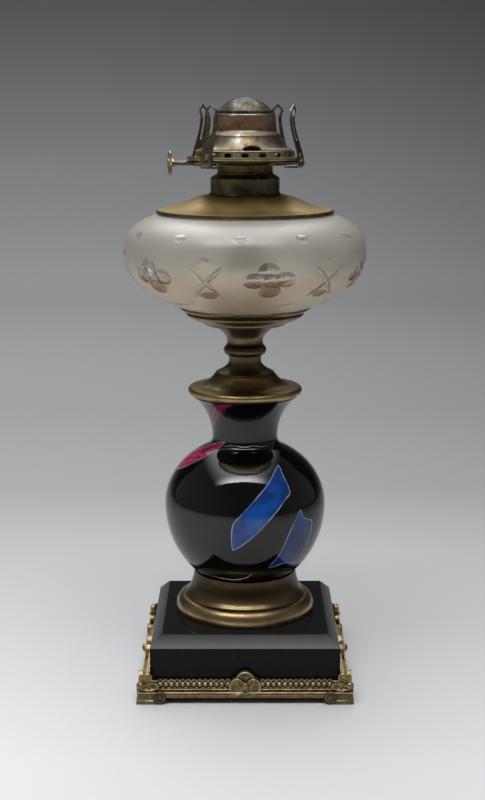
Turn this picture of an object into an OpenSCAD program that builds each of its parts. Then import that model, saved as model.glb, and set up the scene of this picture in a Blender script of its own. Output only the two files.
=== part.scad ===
// Oil lamp of black and frosted glass with brass mounts, for one flat wick.
// Millimetres, +Z up. The origin is on the lamp's axis, at the surface it stands on,
// and the front faces -Y. Pieces sit one on top of the other along the axis.

/* [Foot frame] */
// Width of the rail beside the plinth
rail_w = 7.3; // [6:0.1:9]
// Height of a foot
foot_h = 8.3; // [7:0.1:9.5]
// Length of a foot along its side
foot_l = 20.6; // [16:0.2:26]
// Radius of the scroll at the end of a foot
scroll_r = 4.3; // [3.2:0.1:4.6]
// Height of the rail's underside above the table
rail_gap = 3.9; // [3.2:0.1:5]
// Height of the rail
rail_h = 10.9; // [9.5:0.1:12.5]
// Thickness of the ledge that the plinth stands on
ledge_t = 2.1; // [1.6:0.1:2.6]
// Width of the ledge under the plinth
ledge_w = 7; // [5:0.2:10]
// Reeds on each half of a side
reed_count = 12; // [8:1:13]
// Radius of one reed
reed_r = 1.5; // [1.1:0.05:1.7]
// Radius of the rosette's petals
petal_r = 4; // [3:0.1:4.6]
// Radius of the balls on the rosettes and corners
ball_r = 2.2; // [1.6:0.1:2.8]

/* [Plinth and its plate] */
// Width of the glass plinth
plinth_w = 125; // [122:0.2:126]
// Height of the glass plinth
plinth_h = 36.6; // [34:0.2:44]
// Width of the bevel round the top of the plinth
bevel_w = 7.7; // [5:0.1:10]
// Radius of the recess under the plinth for the nut
recess_r = 17; // [14:0.5:24]
// Depth of the recess under the plinth
recess_h = 12; // [10:0.5:16]
// Thickness of the pressed iron plate under the frame
plate_t = 1; // [0.8:0.1:1.4]

/* [Foot ring] */
// Height of the spun ring between plinth and vase
ring_h = 28.3; // [25:0.1:33]
// Radius of the ring's round skirt
ring_r = 47.5; // [44:0.1:51]
// Radius of the step between the skirt and the ring's neck
step_r = 40.7; // [39:0.1:42.5]
// Height of that step above the plinth
step_z = 11.6; // [10:0.1:13]
// Outside radius of the ring's upper lip
lip_r = 35; // [32:0.1:37]
// Thickness of the spun brass
sheet_t = 1; // [0.8:0.05:1.3]

/* [Vase] */
// Widest radius of the vase
vase_r = 54.7; // [50:0.1:60]
// Height of the body's upper half
vase_up = 46; // [42:0.2:50]
// Depth of the body's lower half, down to where it would close
vase_low = 59.5; // [55:0.2:64]
// Radius of the neck's waist
neck_r = 22; // [20:0.1:24]
// Height of the flaring neck above its waist
neck_h = 28.1; // [25:0.1:31]
// Radius of the arc that the neck flares along
flare_r = 36.4; // [35:0.1:44]
// Radius of the curve between shoulder and neck
shoulder_r = 7; // [5:0.1:9]
// Thickness of the vase's glass
vase_t = 3.6; // [3:0.1:4.5]

/* [Stem] */
// Radius of the dish on top of the vase
cap_r = 38.4; // [37:0.1:41]
// Height of that dish
cap_h = 14.9; // [13:0.1:17]
// Radius of the seam where the lower stem stands on the dish
seam_r = 19.9; // [18.5:0.1:21]
// Height of the lower stem
stem_low_h = 12.1; // [11:0.1:14]
// Radius of the stem at its waist
stem_r = 10.8; // [9.5:0.1:12]
// Radius of the dark bead round the stem
bead_r = 14.3; // [13:0.1:16]
// Height of the bead
bead_h = 7.6; // [6:0.1:9]
// Height of the upper stem
stem_up_h = 12.4; // [11:0.1:14]
// How far the upper stem opens out towards its top
stem_flare = 9; // [7:0.1:10]
// Radius of the small dish under the cup
dish_r = 28.9; // [26:0.1:30]
// Height of the small dish
dish_h = 3.6; // [3.2:0.1:5]
// Radius of the cup that holds the font
cup_r = 43.4; // [42:0.1:46]
// Height of the cup
cup_h = 9.1; // [8:0.1:11]

/* [Rod] */
// Radius of the threaded rod through foot and stem
rod_r = 4; // [3:0.1:4.6]
// Width across the flats of the rod's nuts
nut_w = 13; // [11.5:0.5:14.5]
// Height of the nuts
nut_h = 4.8; // [4:0.1:5]
// Radius of the washer under the plinth
washer_r = 11.5; // [9.5:0.5:13]
// Thickness of the washer
washer_t = 1.5; // [1:0.1:2]

/* [Font] */
// Widest radius of the glass font
font_r = 80.4; // [76:0.1:86]
// Height of the font's upper half
font_up = 31.5; // [30:0.1:33]
// Depth of the font's lower half, down to where it would close
font_low = 41.4; // [39:0.2:44]
// Squareness of the font's upper half, 2 being an ellipse
font_square = 2.8; // [2.4:0.1:3]
// Thickness of the font's glass
font_t = 4; // [3:0.1:5]
// Inside radius of the font's neck
mouth_r = 14.6; // [14.2:0.1:15.2]
// Radius of the brass cap on the font's shoulder
top_cap_r = 58.5; // [54:0.1:62]
// Height of that cap
top_cap_h = 12.5; // [11.8:0.1:15]

/* [Collar] */
// Radius of the collar
collar_r = 22.8; // [22:0.1:24]
// Height of the collar
collar_h = 14.2; // [13:0.1:16]
// Radius of the threaded hole in the collar
thread_r = 15.95; // [15.6:0.05:16.2]
// Wall between the thread and the collar's upper edge
collar_edge = 2.6; // [2:0.1:3]

/* [Burner] */
// Angle by which the burner is screwed round
burner_turn = 8; // [-20:1:20]
// Radius of the plate that the chimney stands on
gallery_r = 38.1; // [37.6:0.1:40]
// Height of the plate above the collar
gallery_z = 8.5; // [8:0.1:10]
// Thickness of the burner's sheet brass
thin_t = 0.8; // [0.6:0.05:0.9]
// Radius of the perforated band at its foot
band_r = 33; // [32.4:0.1:33.6]
// Height of the perforated band
band_h = 4.3; // [4:0.1:5.5]
// Air holes round the band
hole_count = 18; // [12:1:22]
// Width of an air hole
hole_w = 4.9; // [3:0.1:6]
// Height of an air hole
hole_h = 2.8; // [2:0.1:3.2]
// Radius of an air hole's corners
hole_round = 1; // [0.4:0.1:1]
// Radius of the deflector's skirt
skirt_r = 31; // [30:0.1:31.2]
// Height of the deflector's bell
bell_h = 23.2; // [21:0.1:26]
// Width of the small hood at the front of the skirt
hood_w = 12.6; // [8:0.1:14]
// Height of that hood
hood_h = 3; // [2.4:0.1:4]
// Radius of the bell's neck
bell_neck_r = 19.4; // [18.8:0.1:20.4]
// Radius of the dome at its foot
dome_r = 16.9; // [16.4:0.1:17.6]
// Height of the dome above its lip
dome_h = 8.1; // [7:0.1:9.5]
// Length of the flame slot in the dome
slot_l = 29; // [27.6:0.1:30]
// Width of the flame slot
slot_w = 6; // [5:0.1:7]

/* [Wick and its winder] */
// Width of the flat wick
wick_w = 25; // [22:0.1:25.4]
// Thickness of the wick
wick_t = 2.4; // [1.8:0.1:2.6]
// Length of the wick
wick_l = 104; // [80:1:110]
// Wick that stands out above its tube
wick_top = 1.5; // [0.5:0.1:3]
// Length of the wick tube above the gallery
tube_up = 26.5; // [22:0.1:28]
// Radius of the winder's shaft
shaft_r = 1.55; // [1.2:0.05:1.7]
// Distance of the shaft below the gallery
shaft_drop = 2.6; // [2.4:0.05:3]
// Distance of the thumb wheel from the lamp's axis
wheel_x = 49; // [45:0.1:54]
// Radius of the thumb wheel
wheel_r = 8; // [6.5:0.1:9]
// Thickness of the thumb wheel
wheel_t = 1.6; // [1.2:0.1:2.4]
// Radius of the toothed wheels that move the wick
sprocket_r = 3.9; // [3.6:0.1:4.2]
// Teeth on each toothed wheel
sprocket_teeth = 8; // [6:1:10]

/* [Chimney prongs] */
// Width of a prong at its foot
prong_w = 11.6; // [9:0.1:13]
// Width of the prong's narrow part
prong_neck_w = 7.2; // [6.4:0.1:8.4]
// Height of a prong above the gallery
prong_h = 34.4; // [31:0.1:38]
// How far a prong leans in at its narrow part
prong_lean = 6.2; // [5:0.1:6.4]
// Width of the diamond at the tip
tip_w = 8.4; // [7:0.1:9.4]
// Width of the slot down the prong
prong_slot = 2.8; // [2:0.1:3.2]

/* [Hidden] */
$fn = 96;
// Seat between two solids that only rest on each other
seat = 0.3;
// Flat seat of a piece that lifts off
lift_seat = 0.1;
// Radial play of a running shaft and of a rod in its hole
running = 0.05;
rod_play = 0.3;
// Radial play of the thread that the burner is screwed in by
thread_play = 0.2;
// A cut reaches this far past a face
past = 1;

// Directions of the four chimney prongs, seen from above, 0 being the front
prong_turns = [-40, 68, 139, -123];

// The rail stands off the plinth by a seat, and the feet stand out past it
foot_out = 1.2;
rail_in = plinth_w / 2 + seat;
rail_out = rail_in + rail_w;
feet_w = 2 * (rail_out + foot_out);

// Heights of the seats, from the table up
ledge_z = rail_gap;
plinth_z = ledge_z + ledge_t;
plinth_top = plinth_z + plinth_h;
ring_top = plinth_top + ring_h;
vase_c = ring_top + vase_low * sqrt(1 - pow((lip_r - sheet_t - seat) / vase_r, 2));
// The shoulder's curve ends where it runs as steeply as the body does
shoulder_end = 63;
joint_r = neck_r + shoulder_r * (1 - cos(shoulder_end));
joint_z = vase_c + vase_up * sqrt(1 - pow(joint_r / vase_r, 2));
waist_z = joint_z + shoulder_r * sin(shoulder_end);
vase_top = waist_z + neck_h;
cap_z = vase_top + seat;
cap_top = cap_z + cap_h;
bead_z = cap_top + stem_low_h;
stem_up_z = bead_z + bead_h;
dish_z = stem_up_z + stem_up_h;
cup_z = dish_z + dish_h;
cup_floor = cup_z + 1.6;
cup_rim = cup_z + cup_h;
font_seat_r = cup_r - sheet_t;
font_c = cup_rim + seat + font_low * sqrt(1 - pow(font_seat_r / font_r, 2));
top_cap_z = font_c + font_rise(top_cap_r - sheet_t) + seat;
collar_z = top_cap_z + top_cap_h;
burner_z = collar_z + collar_h + lift_seat;
gallery_base = burner_z + gallery_z - lift_seat;
gallery_top = gallery_base + thin_t;
shaft_z = gallery_base - shaft_drop;
band_top = gallery_top + band_h;
flange_top = band_top + thin_t;
bell_z = flange_top + lift_seat;
bell_top = bell_z + bell_h;

// Room round and above the pan that is pressed into the plate
pan_gap = 3;
pan_drop = 5;

// Inner sizes of the glass
vase_foot_r = 24;
vase_foot_z = vase_c - vase_low * sqrt(1 - pow(vase_foot_r / vase_r, 2));
// The font's flat foot is wide, and stays above the nut on the rod
font_foot_z = max(font_c - font_low * sqrt(1 - pow(32.8 / font_r, 2)), cup_floor + nut_h + seat);
font_foot_r = font_r * sqrt(1 - pow((font_c - font_foot_z) / font_low, 2));
mouth_wall = 4;
mouth_top = collar_z + 3.7;

// Plan of the wick and its tube
tube_play = 0.3;
tube_wall = 0.5;
tube_w = wick_w + 2 * tube_play;
tube_t = wick_t + 2 * tube_play;
tube_top = gallery_top + tube_up;
shaft_y = wick_t / 2 + 0.15 + sprocket_r;
sleeve_r = shaft_r + 0.6;
body_r = thread_r + collar_edge - 0.35;
body_top_r = body_r + 2.4;
screw_l = 8.4;
sprocket_x = 7;
sprocket_t = 1.6;

// Prong sheet and the radius at which it stands
prong_t = 0.8;
prong_r = gallery_r + 0.3;
prong_foot_z = gallery_base - 5.2;
prong_foot_l = 9;
prong_tip_z = gallery_top + prong_h;

// Height of the font's upper half above its widest level, at radius r
function font_rise(r) = font_up * pow(1 - pow(r / font_r, font_square), 1 / font_square);

// How far the vase's neck has flared at height h above its waist
function flare_out(h) = flare_r - sqrt(flare_r * flare_r - h * h);

// Points of an arc round [x, z] from angle a to angle b
function arc(x, z, r, a, b, n = 8) =
    [for (i = [0:n]) let (t = a + (b - a) * i / n) [x + r * cos(t), z + r * sin(t)]];

// Points of an ellipse's quarter between two angles
function oval(x, z, rx, rz, a, b, n = 8) =
    [for (i = [0:n]) let (t = a + (b - a) * i / n) [x + rx * cos(t), z + rz * sin(t)]];

// A list in the opposite order
function backwards(list) = [for (i = [len(list) - 1:-1:0]) list[i]];

// An outline moved inwards and down
function shifted(points, dr, dz) = [for (p = points) [p[0] - dr, p[1] - dz]];

// Sheet metal spun to the outline given from its lower edge to its upper edge
module spun(outside, t, drop = 0) {
    rotate_extrude()
        polygon(concat(outside, backwards(shifted(outside, t, drop))));
}

// A body that is square at every height: points are [half width, height]
module square_turned(points) {
    reach = max([for (p = points) p[0]]) + past;
    outline = concat(points, backwards([for (p = points) [-p[0], p[1]]]));
    intersection() {
        rotate([90, 0, 0]) translate([0, 0, -reach]) linear_extrude(2 * reach) polygon(outline);
        rotate([90, 0, 90]) translate([0, 0, -reach]) linear_extrude(2 * reach) polygon(outline);
    }
}

module slab(w, d, h, z) {
    translate([-w / 2, -d / 2, z]) cube([w, d, h]);
}

// Everything that is screwed into the collar turns with the burner
module on_burner() {
    rotate([0, 0, burner_turn]) children();
}

// Outline of the rail, from its foot up: half widths run from the plinth to the toe
function rail_x(share) = rail_in + share * rail_w;
rail_outline = [
    [rail_x(0.9), 0], [rail_x(1), 0.6], [rail_x(0.78), 2.1], [rail_x(0.76), 3],
    [rail_x(0.6), 3.2], [rail_x(0.6), 4.1], [rail_x(0.68), 4.6], [rail_x(0.64), 5.6],
    [rail_x(0.38), 5.8], [rail_x(0.3), rail_h - 1.4], [rail_x(0.16), rail_h - 0.5]
];
reed_z = rail_gap + 5.8;
reed_top = rail_gap + rail_h;
reed_a = rail_x(0.3);
reed_start = petal_r * 2 + 3.2;
reed_end = feet_w / 2 - 14.5;
corner_in = feet_w / 2 - 4.6;
rosette_a = rail_x(0.5);

module reeds() {
    pitch = (reed_end - reed_start) / (reed_count - 1);
    for (side = [-1, 1]) for (i = [0:reed_count - 1])
        translate([side * (reed_start + i * pitch), -reed_a]) circle(reed_r, $fn = 24);
}

// Flat raised leaf or petal on a side of the frame, seen from the front
module lobe(x, z, r, t = 2.4) {
    translate([x, -rosette_a, z]) rotate([90, 0, 0]) cylinder(r = r, h = t, $fn = 48);
}

module rosette() {
    hub_z = rail_gap + 8.5;
    lobe(0, hub_z + 1.15 * petal_r, petal_r);
    for (s = [-1, 1]) lobe(s * 1.72 * petal_r, hub_z - 0.45 * petal_r, 0.95 * petal_r);
    lobe(0, hub_z - 0.8 * petal_r, 0.8 * petal_r);
    translate([0, -rosette_a - 2.4, hub_z]) sphere(ball_r, $fn = 32);
}

// One foot with its scroll, on the left end of the front side
module foot_arm() {
    foot_in = rail_x(0.2);
    translate([0, -foot_in, 0]) rotate([90, 0, 0]) linear_extrude(feet_w / 2 - foot_in) union() {
        translate([-feet_w / 2, 0]) square([foot_l - scroll_r, foot_h]);
        translate([-feet_w / 2 + foot_l - scroll_r, scroll_r]) circle(scroll_r, $fn = 48);
        translate([-feet_w / 2, 0]) square([foot_l - scroll_r, scroll_r]);
    }
}

module corner_leaves() {
    lobe(-feet_w / 2 + 9, rail_gap + rail_h + 2.4, 3.7, 2);
    lobe(-feet_w / 2 + 11.6, rail_gap + rail_h - 2.3, 3.1, 2.6);
}

module base_frame() {
    color("#7A6335") union() {
        difference() {
            square_turned([for (p = rail_outline) [p[0], rail_gap + p[1]]]);
            slab(2 * rail_in, 2 * rail_in, rail_h, plinth_z);
            slab(plinth_w - 2 * ledge_w, plinth_w - 2 * ledge_w, 2 * rail_h, 0);
        }
        for (turn = [0:90:270]) rotate([0, 0, turn]) {
            translate([0, 0, reed_z]) linear_extrude(reed_top - reed_z) reeds();
            rosette();
            foot_arm();
            mirror([1, 0, 0]) foot_arm();
            corner_leaves();
            mirror([1, 0, 0]) corner_leaves();
            // Post, ball and leaf on the corner itself
            translate([-feet_w / 2, -feet_w / 2, 0])
                cube([4.6, 4.6, reed_top - 0.4]);
            translate([corner_in + 1.6, -corner_in - 1.6, reed_top - 2.2]) sphere(ball_r + 0.6, $fn = 32);
            translate([corner_in - 1.2, -corner_in + 1.2, reed_top - 2]) cylinder(r = 2.3, h = 9, $fn = 32);
        }
    }
}

module base_plate() {
    pan_r = recess_r - pan_gap;
    pan_h = recess_h - pan_drop;
    under = ledge_z - plate_t;
    color("#3A3835") difference() {
        union() {
            slab(plinth_w - 4, plinth_w - 4, plate_t, under);
            translate([0, 0, under]) cylinder(r = pan_r, h = pan_h + plate_t);
        }
        translate([0, 0, under - past]) cylinder(r = pan_r - plate_t, h = pan_h + past);
        translate([0, 0, under - past]) cylinder(r = rod_r + rod_play, h = pan_h + 3 * past);
    }
}

module plinth() {
    half = plinth_w / 2;
    color("#0B0B0C") difference() {
        square_turned([
            [half, plinth_z], [half, plinth_top - bevel_w], [half - bevel_w, plinth_top]
        ]);
        translate([0, 0, plinth_z - past]) cylinder(r = recess_r, h = recess_h + past);
        cylinder(r = rod_r + 1.2, h = plinth_top + past);
    }
}

// Skirt, step and neck of the foot ring, from the plinth up
ring_outline = concat(
    [[ring_r - 0.6, plinth_top]],
    oval(step_r + 0.4, plinth_top + 3, ring_r - step_r - 0.4, step_z - 3.6, -10, 90),
    [[step_r + 0.2, plinth_top + step_z - 0.5], [step_r, plinth_top + step_z]],
    oval(step_r - 0.4, plinth_top + step_z + 11.5, step_r - 0.4 - lip_r, 10.4, 270, 180),
    [[lip_r, ring_top]]
);

module foot_ring() {
    color("#8A6A3C") spun(ring_outline, sheet_t);
}

// Glass of the vase: the outside from the foot up, and the inside down again
vase_outside = concat(
    [[vase_foot_r, vase_foot_z]],
    oval(0, vase_c, vase_r, vase_low, -acos(vase_foot_r / vase_r) + 3, 0, 16),
    oval(0, vase_c, vase_r, vase_up, 4, acos(joint_r / vase_r), 16),
    arc(neck_r + shoulder_r, waist_z, shoulder_r, 180 + shoulder_end, 180, 8),
    [for (i = [1:10]) [neck_r + flare_out(neck_h * i / 10), waist_z + neck_h * i / 10]]
);
vase_inside = concat(
    [[rod_r + 1.5, vase_foot_z + vase_t]],
    oval(0, vase_c, vase_r - vase_t, vase_low - vase_t, -acos((vase_foot_r - 2) / vase_r) + 6, 0, 14),
    oval(0, vase_c, vase_r - vase_t, vase_up - vase_t, 5, acos(joint_r / vase_r) - 2, 14),
    [for (i = [0:8]) [neck_r - vase_t + flare_out(neck_h * i / 8), waist_z + neck_h * i / 8]]
);

module vase() {
    color("#08080A") rotate_extrude(convexity = 6)
        polygon(concat([[rod_r + 1.5, vase_foot_z]], vase_outside, backwards(vase_inside)));
}

// Dish that closes the vase: lip, round edge, ogee top
module vase_cap() {
    edge = cap_r - 2.6;
    outside = concat(
        [[cap_r - 3.6, cap_z]],
        arc(edge, cap_z + 3.6, 2.6, -45, 60, 8),
        [[cap_r - 4.6, cap_z + 6.6]],
        [for (i = [0:8]) let (t = i / 8)
            [cap_r - 6.4 - (cap_r - 6.4 - seam_r - 0.6) * t, cap_z + 7 + (cap_h - 7.6) * t * t]],
        [[seam_r + 0.3, cap_top]]
    );
    color("#7D6531") difference() {
        union() {
            spun(outside, sheet_t, sheet_t * 0.4);
            translate([0, 0, cap_top - sheet_t - 0.4]) cylinder(r = seam_r, h = sheet_t + 0.4);
        }
        translate([0, 0, cap_z]) cylinder(r = rod_r + rod_play, h = cap_h + past);
    }
}

// Lower half of the stem: its edge on the dish, a curve, and the straight waist
module stem_lower() {
    rise = stem_low_h - 3.4;
    outside = concat(
        [[seam_r - 0.4, cap_top], [seam_r - 0.3, cap_top + 0.8]],
        [for (i = [1:8]) let (t = i / 8)
            [stem_r + (seam_r - 0.5 - stem_r) * pow(1 - t, 2), cap_top + 0.8 + (rise - 0.8) * t]],
        [[stem_r, bead_z]]
    );
    color("#4E4029") spun(outside, sheet_t + 1.4);
}

module stem_bead() {
    half = bead_h / 2;
    color("#2E2A22") rotate_extrude() difference() {
        union() {
            translate([bead_r - half, bead_z + half]) circle(half);
            translate([rod_r + 1, bead_z]) square([bead_r - half - rod_r - 1, bead_h]);
        }
        square([rod_r + rod_play, 2 * bead_z]);
    }
}

// Upper half of the stem, opening towards the small dish
module stem_upper() {
    foot_r = stem_r + 1.1;
    head_r = foot_r + stem_flare;
    outside = concat(
        [[foot_r + 0.2, stem_up_z]],
        [for (i = [0:9]) let (t = i / 9)
            [foot_r + (head_r - foot_r) * pow(t, 2.1), stem_up_z + 1 + (stem_up_h - 1) * pow(t, 0.9)]]
    );
    color("#4E4029") spun(outside, sheet_t + 1.4);
}

module stem_dish() {
    inner_r = stem_r + 6;
    outside = concat(
        [[inner_r, dish_z]],
        oval(inner_r + 4, dish_z + dish_h, dish_r - inner_r - 4, dish_h - 0.1, 280, 350, 6),
        [[dish_r, cup_z - 0.4], [dish_r - 0.2, cup_z]]
    );
    color("#6B5628") rotate_extrude() polygon(concat([[rod_r + rod_play, dish_z]], outside,
        [[rod_r + rod_play, cup_z]]));
}

// Cup with two rims, open to the font
cup_mid_r = cup_r - 4.3;
cup_mid_z = cup_z + cup_h - 4.6;
cup_inside = [
    [font_seat_r - 0.4, cup_rim], [cup_mid_r - 2, cup_mid_z + 1.1], [dish_r + 2, cup_floor], [0, cup_floor]
];

module font_cup() {
    outside = [
        [dish_r - 1, cup_z], [dish_r + 2.6, cup_z + 0.2], [cup_mid_r - 1.2, cup_mid_z - 1.2],
        [cup_mid_r, cup_mid_z - 0.2], [cup_mid_r, cup_mid_z + 0.7], [cup_mid_r - 0.7, cup_mid_z + 1.1],
        [cup_r - 1, cup_rim - 1.3], [cup_r, cup_rim - 0.7], [cup_r, cup_rim]
    ];
    color("#6B5628") difference() {
        rotate_extrude() polygon(concat([[0, cup_z]], outside, cup_inside));
        translate([0, 0, cup_z - past]) cylinder(r = rod_r + rod_play, h = cup_h);
    }
}

// Rod, nuts and washer that hold foot, vase and stem together
plate_top_z = ledge_z + recess_h - pan_drop;
lower_nut_z = plate_top_z - plate_t - nut_h - washer_t;

module tie_rod() {
    color("#55534F") translate([0, 0, lower_nut_z - 0.6])
        cylinder(r = rod_r, h = cup_floor + nut_h + 0.2 - lower_nut_z + 0.6);
}

module hex_nut(z) {
    difference() {
        translate([0, 0, z]) cylinder(d = nut_w / cos(30), h = nut_h, $fn = 6);
        translate([0, 0, z - past]) cylinder(r = rod_r + 0.1, h = nut_h + 2 * past);
    }
}

module lower_nut() {
    color("#5C5A55") hex_nut(lower_nut_z);
}

module lower_washer() {
    color("#6A675F") difference() {
        translate([0, 0, lower_nut_z + nut_h]) cylinder(r = washer_r, h = washer_t);
        translate([0, 0, lower_nut_z]) cylinder(r = rod_r + 0.1, h = nut_h + 2 * washer_t);
    }
}

module upper_nut() {
    color("#5C5A55") hex_nut(cup_floor);
}

// Plaster that beds the font in its cup
module cup_plaster() {
    top = font_foot_z - seat;
    hole_r = nut_w / 2 + 2;
    edge = shifted([for (i = [2:-1:1]) cup_inside[i]], 0.4, -0.3);
    color("#CFC7B4") rotate_extrude() polygon(concat(
        [[hole_r, cup_floor + 0.3]], edge,
        [[cup_mid_r + 0.2, cup_mid_z + 2.6], [font_foot_r - 0.2, top], [hole_r, top]]
    ));
}

// Glass of the font: the outside from its foot to its mouth, and the inside down again
font_outside = concat(
    [[font_foot_r, font_foot_z]],
    oval(0, font_c, font_r, font_low, -acos(font_foot_r / font_r) + 2, 0, 20),
    [for (i = [1:16]) let (r = font_r * (1 - pow(i / 16, 2.2) * 0.66)) [r, font_c + font_rise(r)]]
);
font_inside = concat(
    [[font_foot_r - 2, font_foot_z + font_t]],
    oval(0, font_c, font_r - font_t, font_low - font_t, -acos((font_foot_r - 2) / font_r) + 5, 0, 18),
    [for (i = [1:14]) let (r = font_r * (1 - pow(i / 14, 2.2) * 0.66))
        [r * (font_r - font_t) / font_r, font_c + font_rise(r) * (font_up - font_t) / font_up]]
);

module font() {
    color([0.86, 0.85, 0.8, 0.55]) rotate_extrude(convexity = 6) polygon(concat(
        [[0, font_foot_z]], font_outside,
        [[mouth_r + mouth_wall, font_c + font_rise(mouth_r + mouth_wall)],
         [mouth_r + mouth_wall, mouth_top], [mouth_r, mouth_top],
         [mouth_r, font_c + font_up - font_t]],
        backwards(font_inside), [[0, font_foot_z + font_t]]
    ));
}

// Plaster between the glass neck and the collar
module neck_plaster() {
    in_r = mouth_r + mouth_wall + 0.2;
    color("#CFC7B4") translate([0, 0, font_c + font_up + 0.4]) difference() {
        cylinder(r = collar_r - 2.4, h = mouth_top - font_c - font_up - 0.6);
        translate([0, 0, -past]) cylinder(r = in_r, h = collar_h + top_cap_h + 2 * past);
    }
}

// Brass cap on the font's shoulder: rolled rim, flat edge, cone and seat for the collar
module shoulder_cap() {
    top = collar_z;
    rim_top = top_cap_z + 2.4;
    cone_r = collar_r + 1.4;
    outside = concat(
        [[top_cap_r, top_cap_z], [top_cap_r, rim_top - 0.4], [top_cap_r - 0.5, rim_top]],
        [for (i = [1:12]) let (t = i / 12)
            [top_cap_r - 0.5 - (top_cap_r - 0.5 - cone_r) * t,
             max(rim_top + (top - 0.2 - rim_top) * (0.28 * t + 0.72 * (1 - cos(180 * pow(t, 1.12))) / 2),
                 font_c + font_rise(top_cap_r - 0.5 - (top_cap_r - 0.5 - cone_r) * t) + seat + sheet_t)]],
        [[cone_r - 1, top], [collar_r - 1.8, top]]
    );
    inside = [for (p = outside) [min(p[0], top_cap_r) - 0.2 - (p[0] > cone_r + 1 ? 0.6 : 0),
        p[1] - (p[1] > rim_top - 0.5 ? sheet_t : 0)]];
    color("#86692F") rotate_extrude() polygon(concat(outside, backwards(inside)));
}

// Threaded collar with its bevelled upper edge
module collar() {
    top = collar_z + collar_h;
    edge_r = thread_r + collar_edge;
    color("#3A3323") rotate_extrude() polygon([
        [collar_r - 2.2, collar_z], [collar_r + 0.7, collar_z], [collar_r + 0.6, collar_z + 0.5],
        [collar_r, collar_z + 1.3], [collar_r, top - 3.6], [edge_r + 0.7, top - 1.4],
        [edge_r, top - 1.1], [edge_r, top], [thread_r, top], [thread_r, mouth_top + 0.3],
        [collar_r - 2.2, mouth_top + 0.3]
    ]);
}

// Shell of the burner: thread, seat on the collar, and the flared top with the shaft's holes
module burner_body() {
    screw_r = thread_r - thread_play;
    screw_z = burner_z - screw_l;
    top = gallery_base - 0.1;
    color("#6E5A30") on_burner() difference() {
        rotate_extrude() polygon([
            [screw_r, screw_z], [screw_r, burner_z], [body_r, burner_z], [body_r, burner_z + 2.4],
            [body_top_r, burner_z + 4.2], [body_top_r, top], [body_top_r - thin_t, top],
            [body_top_r - thin_t, burner_z + 4.5], [body_r - thin_t, burner_z + 2.7],
            [body_r - thin_t, burner_z + thin_t], [screw_r - thin_t, burner_z + thin_t],
            [screw_r - thin_t, screw_z]
        ]);
        shaft_bore(sleeve_r + running, body_top_r + past);
    }
}

// Hole along the shaft, as long as reach on either side
module shaft_bore(r, reach) {
    translate([-reach, shaft_y, shaft_z]) rotate([0, 90, 0]) cylinder(r = r, h = 2 * reach, $fn = 32);
}

module gallery_plate() {
    color("#8B7443") on_burner() {
        rotate_extrude() polygon([
            [body_top_r - 1, gallery_base], [gallery_r - 1.2, gallery_base],
            [gallery_r - 0.6, gallery_base - 0.5], [gallery_r, gallery_base - 0.1],
            [gallery_r, gallery_top + 0.7], [gallery_r - 0.5, gallery_top + 1],
            [gallery_r - 1.2, gallery_top + 0.6], [gallery_r - 1.4, gallery_top],
            [body_top_r - 1, gallery_top]
        ]);
        // Tongues that the prongs hook over
        for (turn = prong_turns) rotate([0, 0, turn - burner_turn])
            translate([-1.5, -gallery_r - 1.9, gallery_base]) cube([3, 2.4, thin_t]);
    }
}

// Perforated plate round the wick tube
module draft_plate() {
    color("#7C673C") on_burner() translate([0, 0, gallery_top]) difference() {
        cylinder(r = band_r - thin_t - 0.9, h = 0.6);
        slab(tube_w + 1.5, tube_t + 1.5, 2 * past, -past / 2);
        for (s = [-1, 1]) translate([s * sprocket_x, shaft_y, 0])
            cube([sprocket_t + 1, 2 * sprocket_r, 2 * past], center = true);
        for (ring = [[20, 19], [27, 25]], i = [0:ring[1] - 1])
            rotate([0, 0, 360 * i / ring[1]]) translate([ring[0], 0, -past]) cylinder(r = 1.1, h = 3 * past, $fn = 16);
    }
}

// Cutter for one air hole, with round corners, reaching towards the front
module air_hole(reach) {
    flat_w = hole_w - 2 * hole_round;
    flat_h = hole_h - 2 * hole_round;
    rotate([90, 0, 0]) linear_extrude(reach) union() {
        square([hole_w, flat_h], center = true);
        square([flat_w, hole_h], center = true);
        for (x = [-1, 1], z = [-1, 1]) translate([x * flat_w / 2, z * flat_h / 2]) circle(hole_round, $fn = 24);
    }
}

module air_band() {
    slope = 0.7;
    mid = gallery_top + band_h * 0.55;
    color("#A08A5C") on_burner() difference() {
        rotate_extrude() polygon([
            [band_r, gallery_top], [band_r - slope, band_top], [band_r - slope - thin_t, band_top],
            [band_r - thin_t, gallery_top]
        ]);
        for (i = [0:hole_count - 1]) rotate([0, 0, i * 360 / hole_count - burner_turn])
            translate([0, -band_r + slope + thin_t + past, mid]) air_hole(slope + thin_t + 2 * past);
    }
}

module top_flange() {
    color("#A08A5C") on_burner() translate([0, 0, band_top]) difference() {
        cylinder(r = band_r - 0.8, h = thin_t);
        translate([0, 0, -past]) cylinder(r = band_r - 8, h = 3 * past);
    }
}

module wick_tube() {
    low = burner_z - 14;
    color("#7E6A42") on_burner() difference() {
        slab(tube_w + 2 * tube_wall, tube_t + 2 * tube_wall, tube_top - low, low);
        slab(tube_w, tube_t, tube_top - low + 2 * past, low - past);
        for (s = [-1, 1]) translate([s * sprocket_x - sprocket_t / 2 - 0.6, 0, shaft_z - sprocket_r])
            cube([sprocket_t + 1.2, tube_t, 2 * sprocket_r]);
    }
}

// Bearing tubes of the shaft, from the shell to the gallery's edge
module shaft_sleeves() {
    inner_x = sqrt(pow(body_top_r - 3, 2) - pow(shaft_y, 2));
    color("#5F5030") on_burner() difference() {
        for (s = [-1, 1])
            translate([s > 0 ? inner_x : -inner_x - 16, shaft_y, shaft_z])
                rotate([0, 90, 0]) cylinder(r = sleeve_r, h = s > 0 ? 8 : 16, $fn = 32);
        shaft_bore(shaft_r + running, gallery_r + past);
    }
}

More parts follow.
